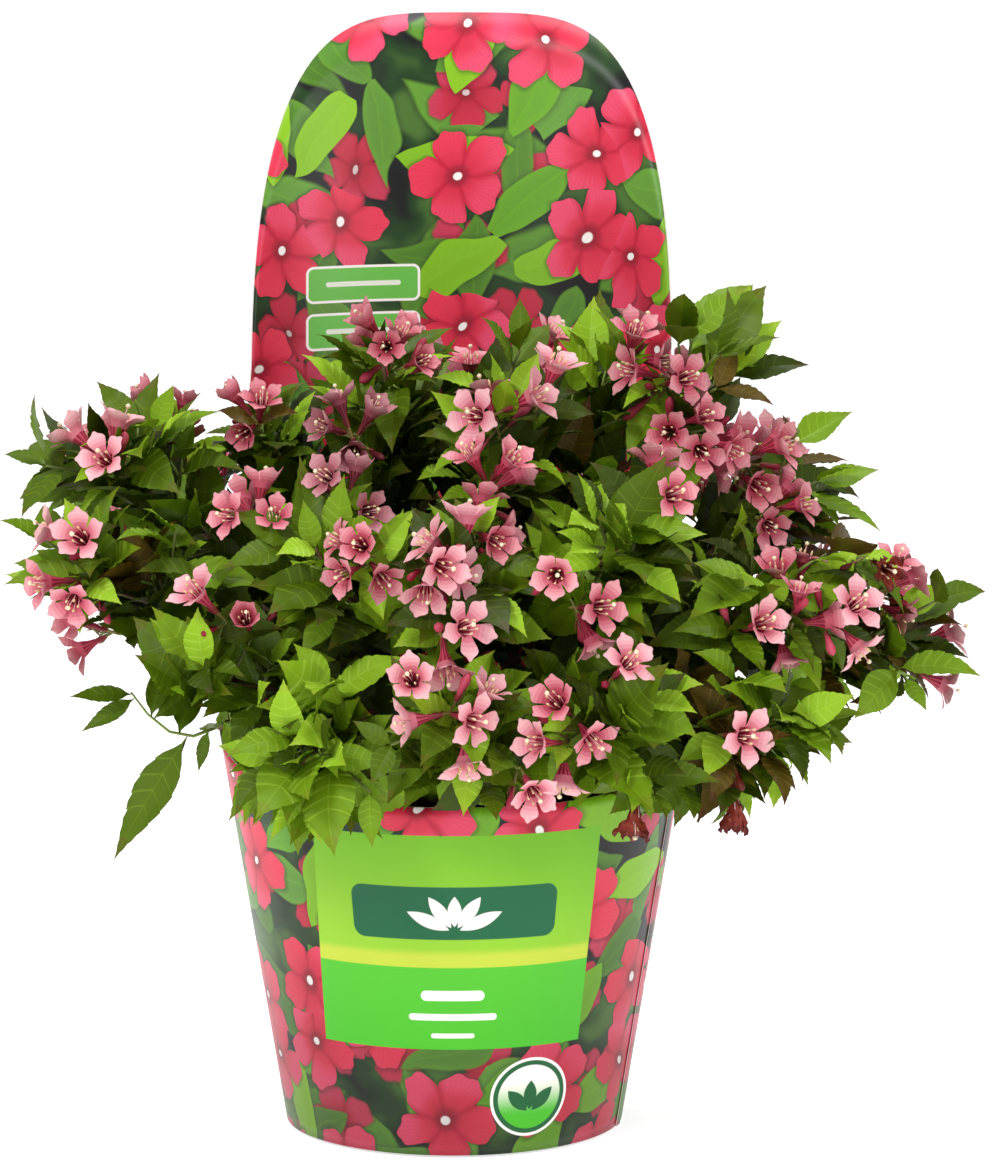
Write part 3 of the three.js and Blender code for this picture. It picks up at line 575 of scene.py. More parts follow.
def cardOutside():
    finish, colour, white, x, y, z = cardFace("printed_card_outside")
    low, lowFar = printed["labelLow"]
    angle = finish.sum("ARCTAN2", x, -y) * (180 / math.pi)
    rise = (z - label["low"]) / (label["top"] - label["low"])
    left, right = [start + rise * (end - start) for start, end in (label["left"], label["right"])]
    inside = finish.smaller(finish.smaller((angle - left) * 1.9, (right - angle) * 1.9),
                            finish.smaller(z - label["low"], label["top"] - z))
    lime = finish.mix(finish.step(z + angle * 0.35, 140.0, 90.0), *reversed(printed["labelTop"]))
    lime = finish.mix(finish.step(z, label["split"] + label["band"], 5.0), printed["labelBand"], lime)
    panel = finish.mix(finish.step(z, label["split"], 0.8), finish.mix(rise * 0.5, low, lowFar), lime)
    # a plain plate with a sprig of five leaves, and plain bars under it
    scale = perDegree * cardRadius(120)
    across = angle * perDegree * cardRadius(120)
    plateLeft, plateRight, plateLow, plateHigh, corner = label["plate"]
    plate = boxInside(finish, across, z, plateLeft * scale, plateRight * scale, plateLow, plateHigh, corner)
    panel = finish.lay(panel, plate, printed["plate"], 0.7)
    sprigX, sprigZ = across - 1.0, z - (plateLow + 4.0)
    for lean in label["sprig"]:
        leafIn = petalInside(finish, sprigX, sprigZ, lean, 3.0, 19.0 + 6.0 * abs(lean), 3.4)
        panel = finish.lay(panel, leafIn, white)
    for height, thick, half in label["bars"]:
        bar = barInside(finish, across, z, 0, height, half, thick)
        panel = finish.mix(finish.step(bar, 0.0, 0.5) * 0.85, panel, white)
    colour = finish.lay(colour, inside, panel, 0.7)
    # the round seal
    across = (angle - seal["angle"]) * perDegree * cardRadius(seal["height"])
    above = (z - seal["height"]) * (1 / math.cos(coneLean))
    out = finish.length(across, above)
    disc = finish.mix(finish.step(above, 1.0, 22.0), low, white)
    for lean in seal["sprig"]:
        leafIn = petalInside(finish, across, above + 9.0, lean, 2.0, 18.0, 3.6)
        disc = finish.lay(disc, leafIn, printed["ring"])
    disc = finish.mix(finish.step(out, seal["inner"], 0.6), disc, printed["ring"])
    disc = finish.mix(finish.step(out, seal["ring"], 0.6), disc, white)
    front = finish.step(-y, 0.0, 1.0)
    colour = finish.mix((1 - finish.step(out, seal["radius"], 0.6)) * front, colour, disc)
    return finish.wear(Base_Color=colour)


def cardInside():
    finish, colour, white, x, y, z = cardFace("printed_card_inside")
    behind = finish.step(y, 0.0, 1.0)
    left, right, tall = tabs["left"], tabs["right"], tabs["tall"]
    for low in tabs["heights"]:
        inside = boxInside(finish, x, z, left, right, low, low + tall, tabs["corner"])
        bar = barInside(finish, x, z, (left + right) / 2, low + tall / 2, *tabs["bar"])
        tab = finish.mix(finish.step(bar, 0.0, 0.5) * 0.8, printed["tab"], white)
        tab = finish.mix(finish.step(inside, tabs["line"], 0.5), white, tab)
        colour = finish.mix(finish.step(inside, 0.0, 0.5) * behind, colour, tab)
    return finish.wear(Base_Color=colour)


def cardCore():
    finish = Finish("card_core", Roughness=0.7)
    fibre = finish.grain(finish.place(), 0.6, 3.0)
    return finish.wear(Base_Color=finish.mix(fibre * 0.6, (226, 206, 208), (244, 236, 232)))


def buildSleeve():
    outside, inside, core = cardOutside(), cardInside(), cardCore()
    sheet = cardSheet(edgeColumns(), card["hem"], cardEdge, card["rows"])
    bmesh.ops.remove_doubles(sheet, verts=sheet.verts, dist=1e-3)
    giveWall(newPiece("card_sleeve", sheet, [outside, core, inside], "printed_card", "sleeve"),
             card["thickness"])
    # the lap, where the card's end is glued over its start
    turn = math.degrees(card["lapWidth"] / cardRadius(card["rim"] / 2))
    columns = np.linspace(card["seam"], card["seam"] + turn, 7) + 360
    lap = cardSheet(columns, card["hem"], lambda degrees: cardEdge(degrees) - 1, 40,
                    card["lapClear"] + card["lapProud"])
    giveWall(newPiece("card_lap", lap, [outside, core, core], "printed_card", "sleeve_seam"),
             card["lapProud"])


buildSleeve()
print("sleeve made")


# the pot and the potting mix

pot = {
    "fit": 0.6, "lipHeight": 180.0, "lipDepth": 12.0, "lipWidth": 4.0, "wall": 2.0, "floor": 3.0,
    "sides": 96, "mixTop": 167.0, "mound": 4.0, "gap": 0.35, "rimBevel": 0.7,
    "crumbs": 420, "crumbSizes": ((1.2, 4.2), (0.9, 2.4), (0.6, 1.4)), "crumbLean": 0.4,
}


def potOuter(z):
    return cardRadius(z) - card["thickness"] - pot["fit"] - pot["lipWidth"]


def buildPot():
    lip, width, wall, floor = pot["lipHeight"], pot["lipWidth"], pot["wall"], pot["floor"]
    foot = lip - pot["lipDepth"]
    form = spunForm([
        (0, 0), (potOuter(0), 0), (potOuter(foot), foot), (potOuter(foot) + width, foot),
        (potOuter(lip) + width, lip), (potOuter(lip) - wall, lip), (potOuter(floor) - wall, floor),
        (0, floor)], pot["sides"])
    rims = [e for e in form.edges if e.calc_face_angle(0) > 0.6 and e.verts[0].co.z == e.verts[1].co.z]
    bmesh.ops.bevel(form, geom=rims, offset=pot["rimBevel"], affect="EDGES", segments=3, profile=0.5,
                    material=-1)
    plastic = Finish("pot_plastic", Specular_IOR_Level=0.45)
    at = plastic.place()
    scuff, fine = plastic.grain(at, 0.05, 4.0), plastic.grain(at, 1.4, 2.0)
    plastic.bump(fine, 0.25, 0.15)
    plastic.wear(Base_Color=plastic.mix(scuff, (22, 23, 24), (44, 44, 43)), Roughness=0.4 + scuff * 0.25)
    newPiece("pot_shell", form, [plastic.material], "pot_plastic", "pot")


def mixRadius(z):
    return potOuter(z) - pot["wall"] - pot["gap"]


def mixHeight(x, y):
    # top of the potting mix, with its lumps
    out = math.hypot(x, y) / mixRadius(pot["mixTop"])
    lumps = noise.fractal(Vector((x, y, 7.0)) / 14, 0.9, 2.1, 4) * 1.6
    return pot["mixTop"] + pot["mound"] * (1 - out ** 2) + lumps * (1 - out ** 8) - 0.6


def addCrumb(form, draw, reach):
    # a crumb of bark or peat, pressed a little into the top
    out, turn = math.sqrt(draw.random()) * reach * 0.95, draw.random() * fullTurn
    x, y = out * math.cos(turn), out * math.sin(turn)
    made = bmesh.ops.create_icosphere(form, subdivisions=1, radius=1.0)["verts"]
    size = Vector([draw.uniform(*sizes) for sizes in pot["crumbSizes"]])
    spin = draw.random() * math.pi
    for vert in made:
        vert.co = Vector(vert.co) * size * draw.uniform(0.8, 1.15)
    lean = Vector([draw.uniform(-pot["crumbLean"], pot["crumbLean"]) for _ in range(2)] + [1])
    bmesh.ops.rotate(form, verts=made, cent=(0, 0, 0),
                     matrix=Vector((0, 0, 1)).rotation_difference(lean).to_matrix())
    for vert in made:
        cx, cy = vert.co.x, vert.co.y
        vert.co.x = cx * math.cos(spin) - cy * math.sin(spin) + x
        vert.co.y = cx * math.sin(spin) + cy * math.cos(spin) + y
        vert.co.z += mixHeight(x, y) + size.z * 0.4


def buildMix():
    base, top = pot["floor"] + pot["gap"], pot["mixTop"]
    reach = mixRadius(top)
    profile = [(0, base), (mixRadius(base), base), (reach, top)]
    profile += [(reach * share, top) for share in np.linspace(0.97, 0.03, 46)] + [(0, top)]
    form = spunForm(profile, 120)
    for vert in form.verts:
        if vert.co.z > top - 1e-3 and math.hypot(vert.co.x, vert.co.y) < reach * 0.99:
            vert.co.z = mixHeight(vert.co.x, vert.co.y)
    draw = random.Random(11)
    for _ in range(pot["crumbs"]):
        addCrumb(form, draw, reach)
    peat = Finish("potting_mix", Roughness=0.95, Specular_IOR_Level=0.2)
    at = peat.place()
    lump, fine = peat.grain(at, 0.12, 4.0), peat.grain(at, 0.8, 3.0)
    colour = peat.mix(lump, (24, 17, 12), (66, 47, 32))
    colour = peat.mix(peat.step(fine, 0.68, 0.1) * 0.6, colour, (110, 84, 58))
    peat.bump(fine, 0.7, 0.8)
    newPiece("potting_mix_top", form, [peat.wear(Base_Color=colour)], "potting_mix", "potting_mix",
             smooth=False)


buildPot()
buildMix()
print("pot and potting mix made")


# the shrub: where its limbs and masses are

shrub = {
    "stoolFoot": 19.0, "stoolHeight": 30.0, "boughFoot": 2.92, "forkFoot": 2.38, "boughTip": 1.7,
    "bend": (0.36, 0.3),  # how far a bough runs straight at its foot and tip, as a share of its length
    "swell": (0.55, 5),  # how much thicker it is at its foot, and over what length
    "steep": (225, 100),  # boughs that end over the first height rise more steeply, over the second
    # radii at the foot and tip of a stem, a twig and a fine twig
    "twigs": ((1.785, 0.9), (1.25, 0.7), (1.0, 0.56)),
    "stoolPlaces": (0, 0.22, 0.5, 0.8, 1),
    "stoolRadii": (1.0, 0.753, 0.684, 0.588, 0.308),
    "heart": (0.0, 0.0, 250.0),  # leaves and flowers face away from here
}
stoolBase = pot["mixTop"] + pot["mound"] + pot["gap"]

# foot and tip of each mass's stem, how far it reaches, its pairs of side twigs, and for some the bough
# that its own one forks from, how far along that, and how much its leaves droop
massColumns = ("foot", "tip", "reach", "pairs", "parent", "at", "droop")
massTable = {
    "leftCrest": ((-108, -14, 296), (-176, -30, 350), 54, 3, "upperLeft", 0.55),
    "leftEdge": ((-108, -40, 264), (-182, -60, 292), 50, 3),
    "leftFlank": ((-84, -70, 240), (-134, -112, 248), 46, 2, "leftEdge", 0.45),
    "upperLeft": ((-68, 6, 300), (-98, 0, 358), 46, 2),
    "topLeft": ((-24, 6, 318), (-36, 2, 396), 48, 3),
    "innerLeft": ((-40, -54, 272), (-68, -112, 318), 48, 3, "topLeft", 0.35),
    "topCentre": ((14, -18, 312), (28, -28, 378), 48, 3),
    "centre": ((2, -60, 268), (6, -126, 306), 50, 3, "topCentre", 0.45),
    "topRight": ((58, 2, 318), (76, 4, 388), 50, 3),
    "crestRight": ((96, -2, 318), (134, -4, 396), 52, 3, "topRight", 0.6),
    "shoulderRight": ((116, -8, 284), (174, -18, 338), 50, 3),
    "centreRight": ((54, -52, 274), (86, -112, 322), 48, 3, "topRight", 0.35),
    "right": ((110, -44, 262), (180, -76, 290), 50, 3, "shoulderRight", 0.6),
    "farRight": ((142, -4, 246), (230, -18, 256), 56, 3, "shoulderRight", 0.4),
    "rightLow": ((98, -62, 226), (160, -98, 214), 58, 3, "frontRight", 0.45, 0.5),
    "frontRight": ((58, -84, 236), (86, -142, 232), 46, 3),
    "frontCentre": ((2, -84, 228), (4, -142, 234), 46, 3),
    "frontLeft": ((-50, -82, 226), (-74, -138, 214), 48, 3, "frontCentre", 0.5, 0.3),
    "strayShoot": ((-122, -24, 212), (-168, -38, 202), 70, 1, "backLeft", 0.3, 1.1),
    "backLeft": ((-108, 40, 270), (-158, 88, 310), 54, 3),
    "backRight": ((116, 40, 270), (168, 88, 312), 54, 3),
    "backCentre": ((4, 46, 290), (6, 66, 352), 50, 3),
    "backLeftLow": ((-122, 16, 238), (-146, 68, 240), 44, 2, "backLeft", 0.5),
    "backRightLow": ((128, 16, 238), (176, 60, 234), 48, 2, "backRight", 0.5),
}
masses = {name: dict(zip(massColumns, row)) for name, row in massTable.items()}
massNames = list(masses)
heart = np.array(shrub["heart"])
stemFeet = np.array([mass["foot"] for mass in masses.values()], float)
stemTips = np.array([mass["tip"] for mass in masses.values()], float)
boughs = {}  # each one's four curve points and its radii at both ends


def stoolRadius(share):
    return float(np.interp(share, shrub["stoolPlaces"], shrub["stoolRadii"])) * shrub["stoolFoot"]


def curvePoint(curve, t):
    a, b, c, d = curve
    return a * (1 - t) ** 3 + b * 3 * t * (1 - t) ** 2 + c * 3 * t * t * (1 - t) + d * t ** 3


def curveHeading(curve, t):
    a, b, c, d = curve
    return unit((b - a) * 3 * (1 - t) ** 2 + (c - b) * 6 * t * (1 - t) + (d - c) * 3 * t * t)


def bearing(name):
    return math.atan2(masses[name]["foot"][1], masses[name]["foot"][0])


mains = sorted([name for name in massNames if "parent" not in masses[name]], key=bearing)
mainStep = fullTurn / len(mains)
mainFirst = sum(bearing(name) - i * mainStep for i, name in enumerate(mains)) / len(mains)


def growBough(name):
    if name in boughs:
        return boughs[name]
    mass, number = masses[name], massNames.index(name)
    stem = unit(stemTips[number] - stemFeet[number])
    end = stemFeet[number] - stem * pot["gap"]
    if "parent" in mass:
        parent = growBough(mass["parent"])
        start, along = curvePoint(parent["curve"], mass["at"]), curveHeading(parent["curve"], mass["at"])
        radius = min(lerp(*parent["radii"], mass["at"]) * 0.8, shrub["forkFoot"])
        leave = square(end - start, along) * 0.8 + along * 0.6
    else:
        out = level(mainFirst + mains.index(name) * mainStep)
        steepFrom, steepOver = shrub["steep"]
        steep = min(1.0, max(0.0, (end[2] - steepFrom) / steepOver))
        rise = 0.35 + 0.3 * steep
        radius = shrub["boughFoot"]
        leave = unit(out * (0.9 - 0.55 * steep) + up * (0.5 + 0.7 * steep))
        start = out * (stoolRadius(rise) - 1.5)
        start[2] = stoolBase + shrub["stoolHeight"] * rise
    reach = np.linalg.norm(end - start)
    first, last = shrub["bend"]
    boughs[name] = {"curve": [start, start + leave * reach * first, end - stem * reach * last, end],
                    "radii": (radius, shrub["boughTip"])}
    return boughs[name]


for name in massNames:
    growBough(name)


def addLimb(gathered, path, radii, sides, tint=0, relief=0.0, seed=0.0):
    # a limb along a path, closed at both ends, with ridges of bark that run along it
    across = np.array([0.31, 0.77, 0.55])
    points, faces = [], []
    for i, (point, radius) in enumerate(zip(path, radii)):
        along = unit(path[min(i + 1, len(path) - 1)] - path[max(i - 1, 0)])
        across = square(across, along)
        other = np.cross(along, across)
        for k in range(sides):
            turn = fullTurn * k / sides
            r = radius
            if relief:
                spot = Vector((math.cos(turn) * 2.2, math.sin(turn) * 2.2 + seed, i * 0.16 + seed))
                r += relief * radius * noise.fractal(spot, 0.8, 2.2, 3)
            points.append(point + (across * math.cos(turn) + other * math.sin(turn)) * r)
            if i + 1 < len(path):
                a, b = i * sides + k, i * sides + (k + 1) % sides
                faces.append((a, b, b + sides, a + sides))
    faces.append(tuple(range(sides))[::-1])
    faces.append(tuple(range(len(points) - sides, len(points))))
    gathered.add(np.array(points), faces, [tint] * len(faces))


def barkFinish():
    finish = Finish("bark", Roughness=0.85, Specular_IOR_Level=0.3)
    at = finish.place()
    long = finish.add("Mapping", {}, {"Vector": at, "Scale": (1.0, 1.0, 0.22)})
    ridge, fleck = finish.grain(long, 0.9, 4.0), finish.grain(at, 2.6, 2.0)
    colour = finish.mix(ridge, (70, 48, 34), (148, 116, 88))
    colour = finish.mix(finish.step(fleck, 0.66, 0.08) * 0.6, colour, (186, 164, 138))
    finish.bump(ridge, 0.6, 0.5)
    return finish.wear(Base_Color=colour)


def buildLimbs():
    gathered = Gathered()
    # the stool: the swollen foot that the boughs fork from
    path = [np.array([0, 0, stoolBase - 3.0 * (h == 0) + h * shrub["stoolHeight"]]) for h in spread(12)]
    addLimb(gathered, path, [stoolRadius(h) for h in spread(12)], 28, relief=0.22, seed=3.0)
    swell, swellOver = shrub["swell"]
    for i, bough in enumerate(boughs.values()):
        curve = bough["curve"]
        reach = np.linalg.norm(curve[3] - curve[0])
        shares = spread(max(8, round(reach / 4)))
        radii = [lerp(*bough["radii"], t) * (1 + swell * math.exp(-t * reach / swellOver)) for t in shares]
        addLimb(gathered, [curvePoint(curve, t) for t in shares], radii, 10, relief=0.2, seed=10.0 + i * 3.1)
    newPiece("bark_limbs", gathered, [barkFinish()], "bark", "stool", *["bough_" + n for n in massNames])


buildLimbs()
print("stool and boughs made")


# the space that each mass keeps to

space = {"lap": 9.0, "twigLap": 4.0, "overRim": 2.5, "outside": 2.0, "inside": -2.5, "overLip": 2}
edgeAngles = np.arange(0, 361, 1.0)
edgeHeights = np.array([max(cardEdge(a - 4), cardEdge(a), cardEdge(a + 4)) for a in edgeAngles])


def stemDistances(points):
    # distance of each point from each mass's stem
    run = stemTips - stemFeet
    share = np.einsum("pmk,mk->pm", points[:, None] - stemFeet, run) / np.einsum("mk,mk->m", run, run)
    nearest = stemFeet + np.clip(share, 0, 1)[..., None] * run
    return np.linalg.norm(points[:, None] - nearest, axis=2)


def massOf(point):
    return int(np.argmin(stemDistances(np.array([point], float))[0]))


def keepsClearOfCard(points):
    x, y, z = points.T
    degrees = (np.degrees(np.arctan2(x, -y)) + card["turn"]) % 360
    below = z < np.interp(degrees, edgeAngles, edgeHeights) + space["overRim"]
    off = np.hypot(x, y) - cardRadius(z)
    outside = off > space["outside"]
    inside = (off < space["inside"]) & (z > pot["lipHeight"] + space["overLip"])
    if np.any(below & ~outside & ~inside):
        return False
    return not (np.any(below & outside) and np.any(below & inside))


def staysInSpace(points, number, reach, lap):
    away = stemDistances(points)
    own = away[:, number]
    return bool(np.all(own < reach) and np.all(own < away.min(axis=1) + lap)) and keepsClearOfCard(points)


def branchOff(axis, heading, degrees):
    across = unit(np.cross(axis, up if abs(axis[2]) < 0.9 else np.array([1.0, 0, 0])))
    other = np.cross(axis, across)
    lean = math.radians(degrees)
    return axis * math.cos(lean) + (across * math.cos(heading) + other * math.sin(heading)) * math.sin(lean)


# one leaf, flat, from its root at the origin along +Y, 1 long

leaf = {
    "rows": (0, 0.08, 0.17, 0.183, 0.295, 0.308, 0.42, 0.433, 0.545, 0.557, 0.68, 0.8, 0.9, 1.0),
    "veins": (3, 5, 7, 9),  # rows that end a narrow vein
    "across": (-1, -0.5, -0.04, 0.04, 0.5, 1),
    "width": 0.475,  # as a share of the length
    "places": (0, 0.05, 0.09, 0.15, 0.22, 0.32, 0.4, 0.5, 0.6, 0.7, 0.78, 0.86, 0.93, 1),
    "widths": (0.03, 0.035, 0.12, 0.5, 0.76, 0.95, 1.0, 0.97, 0.84, 0.63, 0.42, 0.22, 0.09, 0.0),
    "slant": 0.13,
    "tooth": 0.006,
    "relief": 0.02,  # each panel tilts down to its next vein by this much
    "rib": 0.011,
    "twist": 22,  # degrees
    "sway": 0.1,
    "wave": (0.02, 0.11),
}
veinEnds = [leaf["rows"][j] for j in leaf["veins"]]


def leafForm():
    rows, across = leaf["rows"], leaf["across"]
    form = bmesh.new()
    bmesh.ops.create_grid(form, x_segments=len(across) - 1, y_segments=len(rows) - 1, size=0.5)
    for vert in form.verts:
        i = round((vert.co.x + 0.5) * (len(across) - 1))
        j = round((vert.co.y + 0.5) * (len(rows) - 1))
        vert.co = (across[i], rows[j], 0)
    for face in form.faces:
        low, high = min(v.co.y for v in face.verts), max(v.co.y for v in face.verts)
        isRib = max(abs(v.co.x) for v in face.verts) < 0.1
        isVein = any(abs(high - end) < 1e-5 for end in veinEnds)
        face.material_index = 1 if isRib and low < 0.85 or isVein else 2 if low > 0.75 else 0
    sides = [e for e in form.edges if all(abs(v.co.x) > 0.99 for v in e.verts)]
    teeth = set(bmesh.ops.subdivide_edges(form, edges=sides, cuts=1)["geom_inner"])
    for vert in form.verts:
        u, v = vert.co.x, vert.co.y
        run = v + leaf["slant"] * abs(u) * math.sin(math.pi * v) * (1 - 0.5 * v)
        half = float(np.interp(run, leaf["places"], leaf["widths"])) * leaf["width"] / 2
        if vert in teeth and 0.12 < v < 0.9:
            half += leaf["tooth"]
            run += leaf["tooth"]
        sunk = any(abs(v - end) < 1e-6 for end in veinEnds)
        side = min(leaf["rib"] / 2 * (1.3 - v), half * 0.4) if abs(u) < 0.1 else half * abs(u)
        vert.co = (math.copysign(side, u), run, -sunk * leaf["relief"] * abs(u) ** 0.5)
    bmesh.ops.remove_doubles(form, verts=form.verts, dist=1e-4)
    form.verts.index_update()
    order = -1 if next(iter(form.faces)).normal.z < 0 else 1
    points = np.array([v.co for v in form.verts])
    faces = [[v.index for v in face.verts][::order] for face in form.faces]
    tints = [face.material_index for face in form.faces]
    form.free()
    return points, faces, tints


leafPoints, leafFaces, leafTints = leafForm()
print("leaf of", len(leafFaces), "faces")


def bentLeaf(draw, size, droop, fold, slim=1.0):
    # the leaf folded along its rib, waved at its edge, twisted and bent down towards its tip
    x, y, z = leafPoints.T
    x = x * (draw.uniform(0.82, 1.08) * slim)
    half = np.abs(x)
    z = z + (half * math.tan(math.radians(fold)) - half ** 2 * draw.uniform(0.4, 1.2))
    wave = np.sin(y * draw.uniform(7, 13) + draw.random() * 6) * half * np.sign(x)
    z = z + wave * draw.uniform(*leaf["wave"])
    twist = math.radians(draw.uniform(-leaf["twist"], leaf["twist"])) * y
    x, z = x * np.cos(twist) - z * np.sin(twist), x * np.sin(twist) + z * np.cos(twist)
    x = x + draw.uniform(-leaf["sway"], leaf["sway"]) * y ** 2
    # angle of the blade below its start, growing along it, and the place it has come to by then
    bend = math.radians(droop)
    angle = bend * y ** 1.25
    run = np.linspace(0, 1.02, 60)
    ahead, below = [np.concatenate([[0], np.cumsum(way(bend * run[1:] ** 1.25) * (run[1] - run[0]))])
                    for way in (np.cos, np.sin)]
    return np.stack([x, np.interp(y, run, ahead) + z * np.sin(angle),
                     -np.interp(y, run, below) + z * np.cos(angle)], axis=1) * size


def placedLeaf(points, root, direction, normal):
    side = np.cross(direction, normal)
    return root + points[:, :1] * side + points[:, 1:2] * direction + points[:, 2:3] * normal


# one open flower: a funnel with five lobes, from its root at the origin along +Z, in millimetres

flower = {
    "tube": ((0, 1.3), (7, 1.7), (12, 2.9), (16, 4.6), (19, 5.6)),  # height and radius
    "lobes": 5,
    "perLobe": 4,  # faces across each lobe
    "lobe": 12.0,
    "lobeWidth": (1.0, 1.16, 1.5, 1.62, 1.32, 0.56),  # of the lobe's share of the mouth, row by row
    "lobeRound": (0.12, 0.1, 0.15, 0.5, 0.8),  # how far each row's ends lag behind its middle
    "lobeTones": (2, 3, 4, 5, 5),
    "spread": (38, 72),  # degrees from the axis
    "curl": (-6, 46),
}


def flowerForm(lean, curl, draw, shrivel):
    # points, faces and the tone of each face
    points, faces, tones = [], [], []
    lobes, perLobe, widths = flower["lobes"], flower["perLobe"], flower["lobeWidth"]
    sides, steps = lobes * perLobe, len(widths) - 1
    scale = 1 - 0.4 * shrivel
    for i, (z, r) in enumerate(flower["tube"]):
        for k in range(sides):
            turn = fullTurn * k / sides
            # the tube is drawn in a little between the lobes
            ridge = 1 - 0.07 * math.cos(lobes * turn) * (z > 8)
            out = r * scale * ridge * (1 + shrivel * 0.3 * math.sin(turn * 7 + z))
            points.append((out * math.cos(turn), out * math.sin(turn), z))
            if i:
                a, b = (i - 1) * sides + k, (i - 1) * sides + (k + 1) % sides
                faces.append((a, b, b + sides, a + sides))
                tones.append(2 if i > 3 else k % 2)
    mouthBase = len(points) - sides
    mouthZ, mouthR = flower["tube"][-1]
    for j in range(lobes):
        leaning = math.radians(lean + draw.uniform(-10, 10))
        bow = math.radians(curl + draw.uniform(-14, 14))
        step = flower["lobe"] * draw.uniform(0.92, 1.08) / steps
        out = level(fullTurn * (j * perLobe + perLobe / 2) / sides)
        side = np.cross(up, out)
        previous = [mouthBase + (j * perLobe + c) % sides for c in range(perLobe + 1)]
        place = out * mouthR * scale + up * mouthZ
        half = math.pi * mouthR / lobes * scale
        cup = draw.uniform(0.12, 0.3)
        for row in range(1, len(widths)):
            heading = leaning + bow * (row / steps - 0.2)
            along = out * math.sin(heading) + up * math.cos(heading)
            place = place + along * step
            normal = up * math.sin(heading) - out * math.cos(heading)
            wide = half * widths[row]
            current = list(range(len(points), len(points) + perLobe + 1))
            for c in range(perLobe + 1):
                a = (c - perLobe / 2) / (perLobe / 2)
                lift = cup * wide * (a * a - 0.4) - shrivel * 2.0 * math.sin(a * 5 + row)
                back = a * a * step * flower["lobeRound"][row - 1]
                points.append(tuple(place + side * a * wide + normal * lift - along * back))
            for c in range(perLobe):
                faces.append((previous[c], previous[c + 1], current[c + 1], current[c]))
                tones.append(flower["lobeTones"][row - 1])
            previous = current
    return np.array(points), faces, tones


def sprigForm():
    # five stamens and the knobbed stigma: 0 thread, 1 anther, 2 knob
    gathered = Gathered()
    for k in range(5):
        out = level(fullTurn * (k + 0.5) / 5)
        path = [out * 1.2 + up * 8, out * 3.4 + up * 17, out * 3.9 + up * 21.5]
        addLimb(gathered, path, [0.3, 0.3, 0.25], 3, 0)
        addLimb(gathered, [path[2] + up * h for h in (-0.6, 0.6, 2.2, 3.0)], [0.3, 0.75, 0.65, 0.15], 4, 1)
    path = [up * 7, up * 18 + np.array([0.8, 0, 0]), up * 27 + np.array([1.8, 0.4, 0])]
    addLimb(gathered, path, [0.35, 0.32, 0.32], 3, 0)
    addLimb(gathered, [path[2] + up * h for h in (-0.4, 0.4, 1.5, 2.2)], [0.5, 1.35, 1.3, 0.3], 6, 2)
    return gathered.form()


def calyxForm():
    # the slim ovary and its five narrow sepals: 0 ovary, 1 sepal
    gathered = Gathered()
    addLimb(gathered, [up * h for h in (-9, -6, -1, 0.5)], [0.5, 0.85, 1.1, 1.35], 5, 0)
    for k in range(5):
        out = level(fullTurn * k / 5)
        side = np.cross(up, out)
        quad = [out * 1.2 - side * 0.7, out * 1.2 + side * 0.7, out * 2.6 + side * 0.75 + up * 3.6,
                out * 2.6 - side * 0.75 + up * 3.6, out * 3.4 + up * 8]
        gathered.add(np.array(quad), [(0, 1, 2, 3), (3, 2, 4)], [1, 1])
    return gathered.form()


def budForm():
    # a closed bud, club shaped
    gathered = Gathered()
    addLimb(gathered, [up * h for h in (0, 5, 10, 14, 17, 19)], [1.0, 1.5, 2.2, 2.9, 2.2, 0.4], 8, 0)
    return gathered.form()


# blossom: the middle of each cluster, its number of flowers and how deep its pink is, from 0 pale to 3 mauve

clusters = [
    (-186, -60, 363, 3, 0), (-148, -10, 384, 4, 2), (-194, -85, 324, 2, 0), (-197, -95, 304, 2, 1),
    (-109, -25, 384, 5, 2), (-112, -95, 340, 4, 1), (-60, -50, 377, 4, 3), (-54, -95, 358, 4, 3),
    (-35, -10, 424, 5, 2), (-27, -30, 411, 3, 2), (24, -60, 390, 3, 0), (50, -50, 395, 1, 0),
    (21, -100, 363, 3, 1), (14, -120, 341, 3, 1), (6, -140, 323, 2, 0), (-38, -135, 326, 4, 1),
    (-18, -140, 324, 3, 0), (96, -10, 416, 3, 1), (108, -20, 406, 3, 1), (121, -35, 381, 4, 1),
    (136, -45, 372, 4, 1), (156, -35, 369, 4, 1), (109, -100, 353, 2, 1), (114, -110, 334, 1, 0),
    (51, -145, 314, 1, 0), (-121, -120, 296, 1, 0), (-105, -120, 287, 1, 2), (-23, -165, 261, 1, 0),
    (-8, -155, 279, 2, 0), (-3, -170, 246, 2, 0), (8, -172, 240, 2, 0), (83, -165, 267, 1, 0),
    (62, -145, 291, 2, 1), (58, -170, 244, 2, 1), (54, -170, 227, 2, 0), (42, -172, 210, 1, 0),
    (151, -105, 275, 1, 0), (179, -110, 279, 3, 1), (204, -100, 280, 2, 0), (186, -80, 296, 3, 1),
    (230, -50, 295, 3, 1), (140, -135, 228, 1, 0), (171, -50, 334, 3, 1), (252, -5, 254, 1, 0),
    (251, -10, 237, 1, 0), (-176, 108, 322, 5, 1), (-128, 84, 334, 4, 0), (-206, 74, 250, 3, 1),
    (188, 108, 324, 5, 1), (138, 84, 334, 4, 2), (214, 84, 248, 3, 0), (10, 84, 384, 4, 1),
    (-150, 60, 352, 4, 2), (168, 52, 352, 4, 0), (-30, 60, 398, 4, 1), (48, 66, 402, 4, 0),
    (-186, 20, 356, 3, 1), (236, 30, 286, 3, 1), (-196, 20, 300, 3, 0), (-160, 116, 278, 3, 0),
    (190, 108, 276, 3, 1),
]
